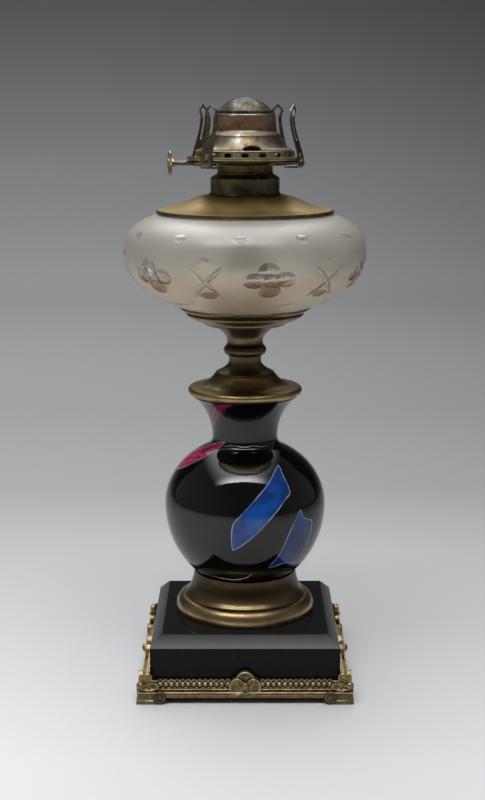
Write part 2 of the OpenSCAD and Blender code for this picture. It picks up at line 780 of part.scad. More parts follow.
module wick_shaft() {
    far = gallery_r + 2.4;
    color("#93845F") on_burner() translate([-wheel_x - 1.6, shaft_y, shaft_z])
        rotate([0, 90, 0]) cylinder(r = shaft_r, h = wheel_x + 1.6 + far, $fn = 32);
}

module sprocket_wheels() {
    root_r = sprocket_r - 1.1;
    color("#8A7A50") on_burner() difference() {
        for (s = [-1, 1]) translate([s * sprocket_x - sprocket_t / 2, shaft_y, shaft_z]) rotate([0, 90, 0])
            linear_extrude(sprocket_t) polygon([for (i = [0:sprocket_teeth - 1], k = [0:3])
                let (a = 360 * (i + [0, 0.35, 0.5, 0.65][k]) / sprocket_teeth - 90,
                     r = [root_r, root_r, sprocket_r, root_r][k]) [r * cos(a), r * sin(a)]]);
        shaft_bore(shaft_r, 2 * sprocket_x);
    }
}

module thumb_wheel() {
    notch_count = 40;
    color("#A58F4E") on_burner() translate([-wheel_x, shaft_y, shaft_z]) rotate([0, 90, 0]) difference() {
        union() {
            translate([0, 0, -wheel_t / 2]) cylinder(r = wheel_r, h = wheel_t, $fn = 64);
            cylinder(r = 2.8, h = 2.6, $fn = 32);
        }
        for (i = [0:notch_count - 1]) rotate([0, 0, 360 * i / notch_count])
            translate([wheel_r + 0.15, 0, -wheel_t]) cylinder(r = 0.42, h = 2 * wheel_t, $fn = 16);
        translate([0, 0, -wheel_t / 2 - 0.01]) cylinder(r = wheel_r - 1.6, h = 0.4, $fn = 64);
        translate([0, 0, -wheel_t]) cylinder(r = shaft_r, h = 4 * wheel_t, $fn = 32);
    }
}

module wick() {
    color("#D8CDB4") on_burner() slab(wick_w, wick_t, wick_l, tube_top + wick_top - wick_l);
}

// Bell of the flame deflector: skirt, flare, round shoulder and neck
module deflector_bell() {
    flare = skirt_r - 1 - bell_neck_r;
    neck_z = bell_z + 13;
    outside = concat(
        [[skirt_r, bell_z], [skirt_r, bell_z + 0.5], [skirt_r - 1, bell_z + 0.7]],
        [for (i = [1:8]) let (t = i / 8)
            [skirt_r - 1 - flare * 0.62 * pow(t, 0.72), bell_z + 0.7 + 7.9 * pow(t, 1.25)]],
        [for (i = [1:6]) let (t = i / 6)
            [bell_neck_r + 0.5 + (flare * 0.38 - 0.5) * (1 + cos(180 * t)) / 2, bell_z + 8.6 + 4.4 * t]],
        [[bell_neck_r, neck_z + 4], [bell_neck_r - 0.1, bell_top - 1], [bell_neck_r - 0.9, bell_top]]
    );
    color("#6E4A38") on_burner() union() {
        difference() {
            rotate_extrude() polygon(concat(outside, [[dome_r - 1.4, bell_top], [dome_r - 1.4, bell_top - thin_t],
                [bell_neck_r - 1.6, bell_top - thin_t]],
                backwards([for (p = outside) if (p[1] < bell_top - 1.5) [p[0] - thin_t, p[1]]])));
            hood(hood_w / 2 - thin_t, hood_h - thin_t);
        }
        // Small hood over a slot at the front of the skirt, open towards the front
        intersection() {
            difference() {
                hood(hood_w / 2, hood_h);
                hood(hood_w / 2 - thin_t, hood_h - thin_t);
                translate([0, 0, bell_z - past]) cylinder(r = skirt_r - 4.4, h = bell_h);
            }
            translate([0, 0, bell_z]) cylinder(r = skirt_r - 0.7, h = bell_h);
        }
    }
}

// Solid low dome that the hood and the space under it are made from
module hood(r, h) {
    translate([0, -skirt_r + 2, bell_z + 0.6]) rotate_extrude($fn = 48)
        polygon(concat([[0, 0]], oval(0, 0, r, h, 0, 90, 8)));
}

// Domed top of the deflector, with its rolled lip and the flame slot
module deflector_dome() {
    lip_z = bell_top + 2.4;
    ball = (dome_r * dome_r + dome_h * dome_h) / (2 * dome_h);
    start = acos(dome_r / ball);
    over = lip_z + dome_h - ball;
    outside = concat(
        [[dome_r - 0.2, bell_top + 0.02], [dome_r + 1, bell_top + 0.1]],
        arc(dome_r + 0.3, bell_top + 1.3, 1.1, -60, 80, 8),
        arc(0, over, ball, start, 90, 12)
    );
    inside = concat([[dome_r - 1.2, bell_top + 0.02]],
        arc(0, over, ball - thin_t, acos((dome_r - 1) / (ball - thin_t)), 90, 12));
    color("#8E8478") on_burner() difference() {
        rotate_extrude() polygon(concat(outside, backwards(inside)));
        slab(slot_l, slot_w, dome_h + 6, lip_z - 0.4);
    }
}

// Middle line of a prong, from the end of its foot to its tip, as [radius, height]
prong_line = concat(
    [[prong_r + prong_t - prong_foot_l - 1.6, prong_foot_z]],
    arc(prong_r - 1.6, prong_foot_z + 2, 2, 270, 350, 5),
    [[prong_r + 0.4, gallery_base]],
    [for (i = [1:9]) let (t = i / 9)
        [prong_r + 0.4 - prong_lean * sin(90 * min(1, t / 0.72)) * (t < 0.72 ? pow(t / 0.72, 0.35) : 1)
            + (t > 0.72 ? 1.3 * pow((t - 0.72) / 0.28, 1.6) : 0),
         gallery_base + (prong_tip_z - gallery_base) * t]]
);

// A strip of sheet along a line: each point is moved square to the line by half a thickness
function beside(line, d) = [for (i = [0:len(line) - 1])
    let (a = line[max(0, i - 1)], b = line[min(len(line) - 1, i + 1)], v = b - a, n = norm(v))
        line[i] + d * [v[1], -v[0]] / n];

// Width of a prong, its slots and its diamond, seen from outside
module prong_face() {
    tip = prong_tip_z;
    wide = tip - 4;
    low = tip - 8.4;
    difference() {
        polygon([
            [-prong_w / 2, prong_foot_z - 2], [prong_w / 2, prong_foot_z - 2],
            [prong_w / 2, gallery_top + 3], [prong_neck_w / 2 + 0.6, gallery_top + 16],
            [prong_neck_w / 2, low], [tip_w / 2, wide], [0, tip],
            [-tip_w / 2, wide], [-prong_neck_w / 2, low],
            [-prong_neck_w / 2 - 0.6, gallery_top + 16], [-prong_w / 2, gallery_top + 3]
        ]);
        polygon([[-prong_slot / 2, low], [-prong_slot / 2, gallery_top + 12.5], [0, gallery_top + 11],
            [prong_slot / 2, gallery_top + 12.5], [prong_slot / 2, low],
            [tip_w / 2 - 1.5, wide], [0, tip - 1.9], [-tip_w / 2 + 1.5, wide]]);
        translate([-1.9, gallery_base - 1.4]) square([3.8, 5.6]);
    }
}

module prong(turn) {
    edge = concat(beside(prong_line, prong_t / 2), backwards(beside(prong_line, -prong_t / 2)));
    color("#6E6250") rotate([0, 0, turn]) rotate([0, 0, -90]) intersection() {
        rotate([90, 0, 0]) translate([0, 0, -prong_w]) linear_extrude(2 * prong_w) polygon(edge);
        rotate([90, 0, 90]) linear_extrude(2 * prong_r) prong_face();
    }
}

module prong_front_left() prong(prong_turns[0]);
module prong_front_right() prong(prong_turns[1]);
module prong_back_right() prong(prong_turns[2]);
module prong_back_left() prong(prong_turns[3]);

base_frame();
base_plate();
plinth();
foot_ring();
vase();
vase_cap();
stem_lower();
stem_bead();
stem_upper();
stem_dish();
font_cup();
tie_rod();
lower_nut();
lower_washer();
upper_nut();
cup_plaster();
font();
neck_plaster();
shoulder_cap();
collar();
burner_body();
gallery_plate();
draft_plate();
air_band();
top_flange();
wick_tube();
shaft_sleeves();
wick_shaft();
sprocket_wheels();
thumb_wheel();
wick();
deflector_bell();
deflector_dome();
prong_front_left();
prong_front_right();
prong_back_right();
prong_back_left();
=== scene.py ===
import math
import bpy
import bmesh
from mathutils import Matrix, Vector


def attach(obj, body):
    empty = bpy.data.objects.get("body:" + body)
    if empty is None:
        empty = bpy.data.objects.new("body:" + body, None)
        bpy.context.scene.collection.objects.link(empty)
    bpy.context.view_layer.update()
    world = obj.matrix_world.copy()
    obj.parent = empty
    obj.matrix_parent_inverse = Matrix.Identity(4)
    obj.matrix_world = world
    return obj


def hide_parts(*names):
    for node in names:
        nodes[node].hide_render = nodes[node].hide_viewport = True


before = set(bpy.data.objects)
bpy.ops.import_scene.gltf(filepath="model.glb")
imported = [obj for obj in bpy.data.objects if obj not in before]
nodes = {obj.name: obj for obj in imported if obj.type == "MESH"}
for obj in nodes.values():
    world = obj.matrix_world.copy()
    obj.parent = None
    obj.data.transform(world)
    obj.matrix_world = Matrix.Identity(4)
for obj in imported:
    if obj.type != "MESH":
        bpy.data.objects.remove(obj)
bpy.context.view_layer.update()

MM = 0.001
# The burner, and all that is screwed in with it, stands turned by this much
BURNER_TURN = math.radians(8)
# Directions of the chimney prongs, 0 being the front
PRONG_TURNS = {"front_left": -40, "front_right": 68, "back_right": 139, "back_left": -123}


# Colour and nodes

def linear(text):
    """The linear colour of an sRGB hex value."""
    parts = [int(text[i:i + 2], 16) / 255 for i in (1, 3, 5)]
    return tuple([c / 12.92 if c <= 0.04045 else ((c + 0.055) / 1.055) ** 2.4 for c in parts] + [1.0])


def add(tree, kind, inputs=None, **settings):
    """Adds a node. Its inputs take a value or another node's output, and stops are a ramp's colours."""
    node = tree.nodes.new(kind)
    for name, value in settings.items():
        if name == "stops":
            ramp = node.color_ramp
            while len(ramp.elements) < len(value):
                ramp.elements.new(0.5)
            for stop, (place, colour) in zip(ramp.elements, value):
                stop.position = place
                stop.color = colour
        else:
            setattr(node, name, value)
    for name, value in (inputs or {}).items():
        if isinstance(value, bpy.types.NodeSocket):
            tree.links.new(value, node.inputs[name])
        else:
            node.inputs[name].default_value = value
    return node


def grey(value):
    """A neutral colour for a ramp, already linear."""
    return (value, value, value, 1.0)


def blank(name):
    """A new material with only its shader, and the tree that it is in."""
    made = bpy.data.materials.new(name)
    made.use_nodes = True
    tree = made.node_tree
    tree.nodes.clear()
    shader = add(tree, "ShaderNodeBsdfPrincipled")
    add(tree, "ShaderNodeOutputMaterial", {"Surface": shader.outputs["BSDF"]})
    return made, tree, shader


# Materials

def lathe_brass(name, bright, dull, stain, rough, patch=9.0, ring=0.7, stained=0.5, pits=0.25, hollow=0.0,
                painted_shade=None):
    """Spun or cast brass that has aged.

    bright is the metal where it is worn bare, dull its brown skin and stain the dark film over it. patch is the
    width in mm of the clouds in the skin, and ring the spacing of the tool's marks, drawn coarser than the
    real ones so that they show. hollow is the depth in mm at which dirt has gathered, 0 for none. The last
    argument paints shade into the colour: it gives the heights in mm where the painted shade begins and where
    it is darkest, and how much it then hides. This painted shade stands for the shade and dark reflections
    of the parts above.
    """
    made, tree, shader = blank(name)
    place = add(tree, "ShaderNodeTexCoord").outputs["Object"]
    clouds = add(tree, "ShaderNodeTexNoise",
                 {"Vector": place, "Scale": 1 / (patch * MM), "Detail": 6.0, "Roughness": 0.62})
    grains = add(tree, "ShaderNodeTexNoise",
                 {"Vector": place, "Scale": 1 / (0.8 * MM), "Detail": 3.0, "Roughness": 0.7})
    apart = add(tree, "ShaderNodeSeparateXYZ", {"Vector": place})
    flat = add(tree, "ShaderNodeCombineXYZ", {"X": apart.outputs["X"], "Y": apart.outputs["Y"]})
    radius = add(tree, "ShaderNodeVectorMath", {0: flat.outputs["Vector"]}, operation="LENGTH")
    along = add(tree, "ShaderNodeMath", {0: radius.outputs["Value"], 1: apart.outputs["Z"]}, operation="ADD")
    rings = add(tree, "ShaderNodeTexNoise",
                {"W": along.outputs["Value"], "Scale": 1 / (ring * MM), "Detail": 2.0}, noise_dimensions="1D")
    skin = add(tree, "ShaderNodeValToRGB", {"Fac": clouds.outputs["Fac"]},
               stops=[(0.36, linear(bright)), (0.62, linear(dull))])
    film = add(tree, "ShaderNodeMapRange", {"Value": grains.outputs["Fac"], "From Min": 0.5, "From Max": 0.72,
                                            "To Min": 0.0, "To Max": stained})
    worn = add(tree, "ShaderNodeMix", {"Factor": film.outputs["Result"], 6: skin.outputs["Color"],
                                       7: linear(stain)}, data_type="RGBA")
    colour = worn.outputs[2]
    if hollow:
        open_sky = add(tree, "ShaderNodeAmbientOcclusion", {"Distance": hollow * MM}, samples=6)
        dirt = add(tree, "ShaderNodeMapRange", {"Value": open_sky.outputs["AO"], "From Min": 0.35,
                                                "From Max": 0.85, "To Min": 0.92, "To Max": 0.0})
        dirty = add(tree, "ShaderNodeMix", {"Factor": dirt.outputs["Result"], 6: colour, 7: linear(stain)},
                    data_type="RGBA")
        colour = dirty.outputs[2]
    # Painted shade: between two heights the colour darkens towards the stain, for the shade and dark reflections of
    # the parts above
    if painted_shade:
        film = add(tree, "ShaderNodeMapRange", {"Value": apart.outputs["Z"], "From Min": painted_shade[0] * MM,
                                                "From Max": painted_shade[1] * MM, "To Max": painted_shade[2]})
        filmed = add(tree, "ShaderNodeMix", {"Factor": film.outputs["Result"], 6: colour, 7: linear(stain)},
                     data_type="RGBA")
        colour = filmed.outputs[2]
    tree.links.new(colour, shader.inputs["Base Color"])
    polish = add(tree, "ShaderNodeMapRange", {"Value": clouds.outputs["Fac"], "From Min": 0.3, "From Max": 0.7,
                                              "To Min": rough - 0.07, "To Max": rough + 0.12})
    tree.links.new(polish.outputs["Result"], shader.inputs["Roughness"])
    shader.inputs["Metallic"].default_value = 1.0
    marks = add(tree, "ShaderNodeBump", {"Height": rings.outputs["Fac"], "Strength": 0.25,
                                         "Distance": 0.05 * MM})
    pitted = add(tree, "ShaderNodeBump", {"Height": grains.outputs["Fac"], "Strength": pits,
                                          "Distance": 0.12 * MM, "Normal": marks.outputs["Normal"]})
    tree.links.new(pitted.outputs["Normal"], shader.inputs["Normal"])
    return made


# Cast brass, once gilt: a soft brown bloom in its hollows. Its ridges take a paler brass, partly worn pale by hands
# and partly a painted highlight
gilt_brass = lathe_brass("worn_gilt_cast_brass", "#AE9A70", "#806C4A", "#2A1F14", 0.42, patch=5, ring=30,
                         stained=0.4, pits=0.3, hollow=0.9)
feet_brass = lathe_brass("worn_cast_brass_of_the_feet", "#928469", "#756850", "#2A2016", 0.42, patch=5, ring=30,
                         stained=0.4, pits=0.3, hollow=0.9)
worn_and_painted_highlight_brass = lathe_brass("worn_ridges_of_cast_brass_with_painted_highlights", "#DCCEA8", "#B8A67C", "#5E4E34", 0.42, patch=4,
                           ring=30, stained=0.35, pits=0.2)
# Spun brass, lacquered long ago: olive brown with clouds and soft wide highlights, and darker towards the parts above
# it, where shade is painted in
foot_brass = lathe_brass("spun_brass_of_the_foot", "#C6AE80", "#9C865E", "#2E2416", 0.31, patch=18,
                         stained=0.12, pits=0.08, painted_shade=(44, 62, 0.9))
shoulder_brass = lathe_brass("spun_brass_of_the_shoulder", "#B49A66", "#968050", "#40341C", 0.39, patch=16,
                             stained=0.12, pits=0.1, painted_shade=(321, 330, 0.5))
# The cap's slope is a darker copy of its rim's brass, painted shade under the font, with more painted shade higher up
painted_shade_cap_brass = lathe_brass("spun_brass_of_the_cap", "#9A875C", "#7C6B46", "#2E2416", 0.36, patch=12, stained=0.15,
                        pits=0.1, painted_shade=(198, 208, 0.6))
cap_rim_brass = lathe_brass("spun_brass_of_the_cap_rim", "#A8936A", "#8A7650", "#2E2416", 0.36, patch=12,
                            stained=0.15, pits=0.1)
# The cup and the dish, browned nearly as dark as the stem. The same brass is painted shade on the rim of the shoulder
# cap
cup_brass_and_painted_rim_shade = lathe_brass("browned_brass_of_the_cup_and_painted_rim_shade", "#8A7A5C", "#6A5B42", "#241C12", 0.32, patch=10, stained=0.35)
# Brass gone brown under its lacquer: dark, with a dull warm sheen
stem_brass = lathe_brass("browned_brass_of_the_stem", "#7E7056", "#5C503C", "#221A10", 0.34, patch=10,
                         stained=0.3)
bead_brass = lathe_brass("blackened_brass_of_the_bead", "#6C6450", "#4A4436", "#1A1610", 0.32, patch=7,
                         stained=0.4)
collar_brass = lathe_brass("blackened_brass_of_the_collar", "#84795A", "#4C4534", "#15120C", 0.34, patch=9,
                           stained=0.4)
# Rolled sheet brass of the burner, dulled by heat and oil: flat olive brown with darker specks
burner_brass = lathe_brass("sheet_brass_of_the_burner", "#AE9D76", "#807050", "#2C2318", 0.38, patch=8,
                           stained=0.4, pits=0.3)
# The shell under the plate: its dark brown is painted shade from the gallery plate over it
painted_shade_shell_brass = lathe_brass("sheet_brass_of_the_shell_with_painted_shade", "#6A5E42", "#4C422C", "#1C160C", 0.34, patch=8,
                          stained=0.35)
pale_brass = lathe_brass("sheet_brass_of_the_band", "#C9BC9A", "#A39470", "#40341F", 0.36, patch=6,
                         stained=0.35, pits=0.3)
# Spring brass gone grey brown, as the prongs do beside the flame
prong_brass = lathe_brass("spring_brass_of_the_prongs", "#867C68", "#605648", "#221C15", 0.34, patch=5,
                          stained=0.45, pits=0.3)


def heated_brass(name, copper, brown, orange, silver, rough, greyed=None):
    """Brass that a flame has coloured: brown like copper, with orange patches and silvery grey film.

    greyed gives the heights in mm below which a grey and golden film hides it, and above which there is none.
    """
    made, tree, shader = blank(name)
    place = add(tree, "ShaderNodeTexCoord").outputs["Object"]
    clouds = add(tree, "ShaderNodeTexNoise",
                 {"Vector": place, "Scale": 1 / (11 * MM), "Detail": 7.0, "Roughness": 0.66})
    blooms = add(tree, "ShaderNodeTexNoise",
                 {"Vector": place, "Scale": 1 / (4.5 * MM), "Detail": 5.0, "Roughness": 0.7, "Distortion": 0.6})
    grains = add(tree, "ShaderNodeTexNoise",
                 {"Vector": place, "Scale": 1 / (0.7 * MM), "Detail": 3.0, "Roughness": 0.75})
    skin = add(tree, "ShaderNodeValToRGB", {"Fac": clouds.outputs["Fac"]},
               stops=[(0.34, linear(brown)), (0.52, linear(copper)), (0.68, linear(silver))])
    glow = add(tree, "ShaderNodeMapRange", {"Value": blooms.outputs["Fac"], "From Min": 0.55, "From Max": 0.68,
                                            "To Min": 0.0, "To Max": 0.85})
    warm = add(tree, "ShaderNodeMix", {"Factor": glow.outputs["Result"], 6: skin.outputs["Color"],
                                       7: linear(orange)}, data_type="RGBA")
    specks = add(tree, "ShaderNodeMapRange", {"Value": grains.outputs["Fac"], "From Min": 0.52,
                                              "From Max": 0.66, "To Min": 0.0, "To Max": 0.6})
    worn = add(tree, "ShaderNodeMix", {"Factor": specks.outputs["Result"], 6: warm.outputs[2],
                                       7: linear(brown)}, data_type="RGBA")
    colour = worn.outputs[2]
    if greyed:
        height = add(tree, "ShaderNodeSeparateXYZ", {"Vector": place})
        ragged = add(tree, "ShaderNodeMath", {0: blooms.outputs["Fac"], 1: 5 * MM, 2: height.outputs["Z"]},
                     operation="MULTIPLY_ADD")
        film = add(tree, "ShaderNodeMapRange", {"Value": ragged.outputs["Value"], "From Min": greyed[1] * MM,
                                                "From Max": greyed[0] * MM, "To Max": 0.92})
        grey_skin = add(tree, "ShaderNodeValToRGB", {"Fac": clouds.outputs["Fac"]}, stops=[
            (0.36, linear("#463E32")), (0.46, linear("#746850")), (0.54, linear("#6C6A62")),
            (0.66, linear("#A4A29C"))])
        filmed = add(tree, "ShaderNodeMix", {"Factor": film.outputs["Result"], 6: colour,
                                             7: grey_skin.outputs["Color"]}, data_type="RGBA")
        colour = filmed.outputs[2]
    tree.links.new(colour, shader.inputs["Base Color"])
    polish = add(tree, "ShaderNodeMapRange", {"Value": clouds.outputs["Fac"], "From Min": 0.3, "From Max": 0.7,
                                              "To Min": rough + 0.1, "To Max": rough - 0.06})
    tree.links.new(polish.outputs["Result"], shader.inputs["Roughness"])
    shader.inputs["Metallic"].default_value = 1.0
    pitted = add(tree, "ShaderNodeBump", {"Height": grains.outputs["Fac"], "Strength": 0.45,
                                          "Distance": 0.15 * MM})
    tree.links.new(pitted.outputs["Normal"], shader.inputs["Normal"])
    return made


# The bell of the flame deflector: copper brown with orange blooms round its neck, grey on its flared foot
bell_brass = heated_brass("heat_coloured_brass_of_the_bell", "#B28C6A", "#725840", "#CC8A50", "#A89C88", 0.38,
                          greyed=(371, 374.5))
# Its top edge and its hood are paler and greyer; on the top edge this is a painted highlight ring over the shade
# under the dome's rim
flare_brass = heated_brass("greyed_brass_of_the_bell_edge", "#8C8272", "#5C5142", "#A88450", "#C2C0B8", 0.32)
# The dome above it, hotter still: grey film over brown, rough to the eye
dome_brass = heated_brass("heat_coloured_brass_of_the_dome", "#504B41", "#38342C", "#6A6148", "#8C877E", 0.58)


def black_glass(name, tint, dust, mirror):
    """Pressed black glass, fire polished: a deep mirror with a little dust and faint wiping marks."""
    made, tree, shader = blank(name)
    place = add(tree, "ShaderNodeTexCoord").outputs["Object"]
    film = add(tree, "ShaderNodeTexNoise", {"Vector": place, "Scale": 1 / (28 * MM), "Detail": 5.0,
                                            "Roughness": 0.6, "Distortion": 1.2})
    motes = add(tree, "ShaderNodeTexNoise", {"Vector": place, "Scale": 1 / (0.9 * MM), "Detail": 2.0})
    dusty = add(tree, "ShaderNodeMapRange", {"Value": motes.outputs["Fac"], "From Min": 0.66, "From Max": 0.74,
                                             "To Min": 0.0, "To Max": dust})
    colour = add(tree, "ShaderNodeMix", {"Factor": dusty.outputs["Result"], 6: linear(tint),
                                         7: linear("#8C8A84")}, data_type="RGBA")
    tree.links.new(colour.outputs[2], shader.inputs["Base Color"])
    smears = add(tree, "ShaderNodeMapRange", {"Value": film.outputs["Fac"], "From Min": 0.45, "From Max": 0.75,
                                              "To Min": 0.03, "To Max": 0.13})
    tree.links.new(smears.outputs["Result"], shader.inputs["Roughness"])
    waves = add(tree, "ShaderNodeBump", {"Height": film.outputs["Fac"], "Strength": 0.12, "Distance": 0.3 * MM})
    tree.links.new(waves.outputs["Normal"], shader.inputs["Normal"])
    shader.inputs["IOR"].default_value = 1.5
    shader.inputs["Specular IOR Level"].default_value = mirror
    return made


vase_glass = black_glass("black_glass_of_the_vase", "#050506", 0.05, 0.5)
plinth_glass = black_glass("black_glass_of_the_plinth", "#0E0E0F", 0.12, 0.12)
# The top of the plinth is ground flat and only half polished
ground_glass = black_glass("ground_black_glass_of_the_plinth", "#1A1A1B", 0.1, 0.06)


def inlaid_glass(name, body, light, deep, cloud, drawn=1.0, line=(1, 0, 0)):
    """Coloured glass let into the black while hot, ground flush: smooth, and drawn out along a line."""
    made, tree, shader = blank(name)
    place = add(tree, "ShaderNodeTexCoord").outputs["Object"]
    lie = Vector(line).to_track_quat("X", "Z").to_euler()
    pulled = add(tree, "ShaderNodeMapping", {"Vector": place, "Scale": (drawn, 1.0, 1.0), "Rotation": lie},
                 vector_type="TEXTURE")
    flow = add(tree, "ShaderNodeTexNoise", {"Vector": pulled.outputs["Vector"], "Scale": 1 / (cloud * MM),
                                            "Detail": 3.0, "Roughness": 0.5, "Distortion": 0.1})
    colour = add(tree, "ShaderNodeValToRGB", {"Fac": flow.outputs["Fac"]},
                 stops=[(0.36, linear(deep)), (0.52, linear(body)), (0.68, linear(light))])
    tree.links.new(colour.outputs["Color"], shader.inputs["Base Color"])
    shader.inputs["Roughness"].default_value = 0.06
    shader.inputs["IOR"].default_value = 1.5
    return made


blue_glass = inlaid_glass("blue_inlaid_glass", "#10387A", "#165AB4", "#0C2458", 22, 1.6, (1, -0.3, 1.2))
deep_blue_glass = inlaid_glass("deep_blue_inlaid_glass", "#123068", "#193F82", "#0C1E44", 22, 1.6, (1, -0.3, 1.2))
rose_glass = inlaid_glass("rose_inlaid_glass", "#A81E50", "#D8688C", "#6E1034", 1.6, 14, (28.2, -28.4, 18.3))
dusky_glass = inlaid_glass("dusky_rose_inlaid_glass", "#701C3C", "#8C3454", "#4C1428", 7, 4, (18, -12, 16))
edge_glass = inlaid_glass("pale_edge_of_the_inlays", "#8E9AB4", "#B8C0CE", "#5C6A88", 8)
chip_glass = inlaid_glass("white_chips_in_the_glass", "#C8C8C4", "#E8E8E4", "#8C8C88", 3)


def clear_glass(name, pale, warm, clearness, rough, grain, shine=0.5):
    """Blown glass, with a warm tint painted towards its foot for the warm light from the brass and floor below.
    Frosted, it is etched and holds the light; cut, it is clear.
    """
    made, tree, shader = blank(name)
    place = add(tree, "ShaderNodeTexCoord").outputs["Object"]
    clouds = add(tree, "ShaderNodeTexNoise", {"Vector": place, "Scale": 1 / (16 * MM), "Detail": 4.0})
    height = add(tree, "ShaderNodeSeparateXYZ", {"Vector": place})
    # Painted light: the colour warms towards the foot, for the warm light from the brass and floor below
    lift = add(tree, "ShaderNodeMapRange", {"Value": height.outputs["Z"], "From Min": 0.262, "From Max": 0.306})
    blend = add(tree, "ShaderNodeMath", {0: clouds.outputs["Fac"], 1: lift.outputs["Result"]}, operation="ADD")
    colour = add(tree, "ShaderNodeValToRGB", {"Fac": blend.outputs["Value"]},
                 stops=[(0.5, linear(warm)), (1.0, linear(pale))])
    tree.links.new(colour.outputs["Color"], shader.inputs["Base Color"])
    shader.inputs["Transmission Weight"].default_value = clearness
    shader.inputs["Specular IOR Level"].default_value = shine
    shader.inputs["Roughness"].default_value = rough
    shader.inputs["IOR"].default_value = 1.5
    etched = add(tree, "ShaderNodeTexNoise", {"Vector": place, "Scale": 1 / (0.6 * MM), "Detail": 2.0})
    rough_face = add(tree, "ShaderNodeBump", {"Height": etched.outputs["Fac"], "Strength": grain,
                                              "Distance": 0.05 * MM})
    tree.links.new(rough_face.outputs["Normal"], shader.inputs["Normal"])
    return made


frosted_glass = clear_glass("frosted_glass", "#F5EFE3", "#F6E3C6", 0.79, 0.36, 0.35, 0.3)
cut_glass = clear_glass("polished_cut_glass", "#FEFDFA", "#F6E6CC", 0.96, 0.1, 0.05)
worn_cuts = clear_glass("worn_cut_glass", "#FEFDFA", "#F8ECD8", 0.9, 0.27, 0.2, 0.4)
browned_cuts = clear_glass("cut_glass_with_dried_oil", "#B8945E", "#96703C", 0.7, 0.25, 0.8)
# Oil has dried to a brown film inside, low down; the warm tint there is also painted light from below
stained_inside = clear_glass("oil_stained_glass_inside", "#FCFAF4", "#F2DEBE", 0.97, 0.08, 0.1)


def dull_stuff(name, pale, dark, grain, rough, bump):
    """Matt stuff such as lacquered iron or plaster: two close shades, with a grain in mm."""
    made, tree, shader = blank(name)
    place = add(tree, "ShaderNodeTexCoord").outputs["Object"]
    specks = add(tree, "ShaderNodeTexNoise", {"Vector": place, "Scale": 1 / (grain * MM), "Detail": 5.0,
                                              "Roughness": 0.65})
    colour = add(tree, "ShaderNodeValToRGB", {"Fac": specks.outputs["Fac"]},
                 stops=[(0.35, linear(dark)), (0.65, linear(pale))])
    tree.links.new(colour.outputs["Color"], shader.inputs["Base Color"])
    rise = add(tree, "ShaderNodeBump", {"Height": specks.outputs["Fac"], "Strength": bump,
                                        "Distance": 0.2 * MM})
    tree.links.new(rise.outputs["Normal"], shader.inputs["Normal"])
    shader.inputs["Roughness"].default_value = rough
    return made


# Brushed-on black lacquer over iron sheet, and fine casting plaster gone yellow
iron_lacquer = dull_stuff("black_lacquered_iron", "#1E1D1B", "#0E0E0D", 2.5, 0.5, 0.3)
plaster = dull_stuff("yellowed_plaster", "#D6CDB8", "#B5A98F", 1.2, 0.9, 0.5)
steel = lathe_brass("turned_steel", "#8A8780", "#5E5B56", "#2A2622", 0.35, patch=6, stained=0.5)

# Flat cotton wick: a braid of soft yarns about 1.2 mm apart, charred at its end
cotton_wick, wick_tree, wick_shader = blank("braided_cotton_wick")
wick_place = add(wick_tree, "ShaderNodeTexCoord").outputs["Object"]
for_braid = add(wick_tree, "ShaderNodeMapping", {"Vector": wick_place, "Rotation": (0.0, 0.0, -BURNER_TURN)})
yarns = [add(wick_tree, "ShaderNodeTexWave", {"Vector": add(wick_tree, "ShaderNodeMapping", {
    "Vector": for_braid.outputs["Vector"], "Rotation": (0.0, math.radians(lean), 0.0)}).outputs["Vector"],
    "Scale": 0.314 / (1.2 * MM)}, bands_direction="X") for lean in (-35, 35)]
braid = add(wick_tree, "ShaderNodeMath", {0: yarns[0].outputs["Fac"], 1: yarns[1].outputs["Fac"]},
            operation="MAXIMUM")
yarn_colour = add(wick_tree, "ShaderNodeValToRGB", {"Fac": braid.outputs["Value"]},
                  stops=[(0.3, linear("#8F8468")), (0.9, linear("#D8CDB4"))])
wick_height = add(wick_tree, "ShaderNodeSeparateXYZ", {"Vector": wick_place})
char = add(wick_tree, "ShaderNodeMapRange", {"Value": wick_height.outputs["Z"], "From Min": 0.360,
                                             "From Max": 0.376, "To Min": 0.25, "To Max": 0.96})
charred = add(wick_tree, "ShaderNodeMix", {"Factor": char.outputs["Result"], 6: yarn_colour.outputs["Color"],
                                           7: linear("#15120F")}, data_type="RGBA")
wick_tree.links.new(charred.outputs[2], wick_shader.inputs["Base Color"])
wick_shader.inputs["Roughness"].default_value = 0.95
wick_shader.inputs["Sheen Weight"].default_value = 0.2
braid_rise = add(wick_tree, "ShaderNodeBump", {"Height": braid.outputs["Value"], "Strength": 0.7,
                                               "Distance": 0.4 * MM})
wick_tree.links.new(braid_rise.outputs["Normal"], wick_shader.inputs["Normal"])


# Outlines, as [radius, height] in mm

def oval(x, z, rx, rz, start, end, steps=12):
    """Points along an oval from one angle to another, in degrees."""
    angles = [math.radians(start + (end - start) * i / steps) for i in range(steps + 1)]
    return [(x + rx * math.cos(a), z + rz * math.sin(a)) for a in angles]


def traced(steps, point):
    """Points of a curve given by a function of 0 to 1."""
    return [point(i / steps) for i in range(steps + 1)]


def skin(outside, thick):
    """The closed outline of a sheet: its outside from the lower edge up, and its inside down again."""
    inside = []
    for i, (x, z) in enumerate(outside):
        ax, az = outside[max(0, i - 1)]
        bx, bz = outside[min(len(outside) - 1, i + 1)]
        run = math.hypot(bx - ax, bz - az)
        inside.append((x - thick * (bz - az) / run, z + thick * (bx - ax) / run))
    return outside + inside[::-1]


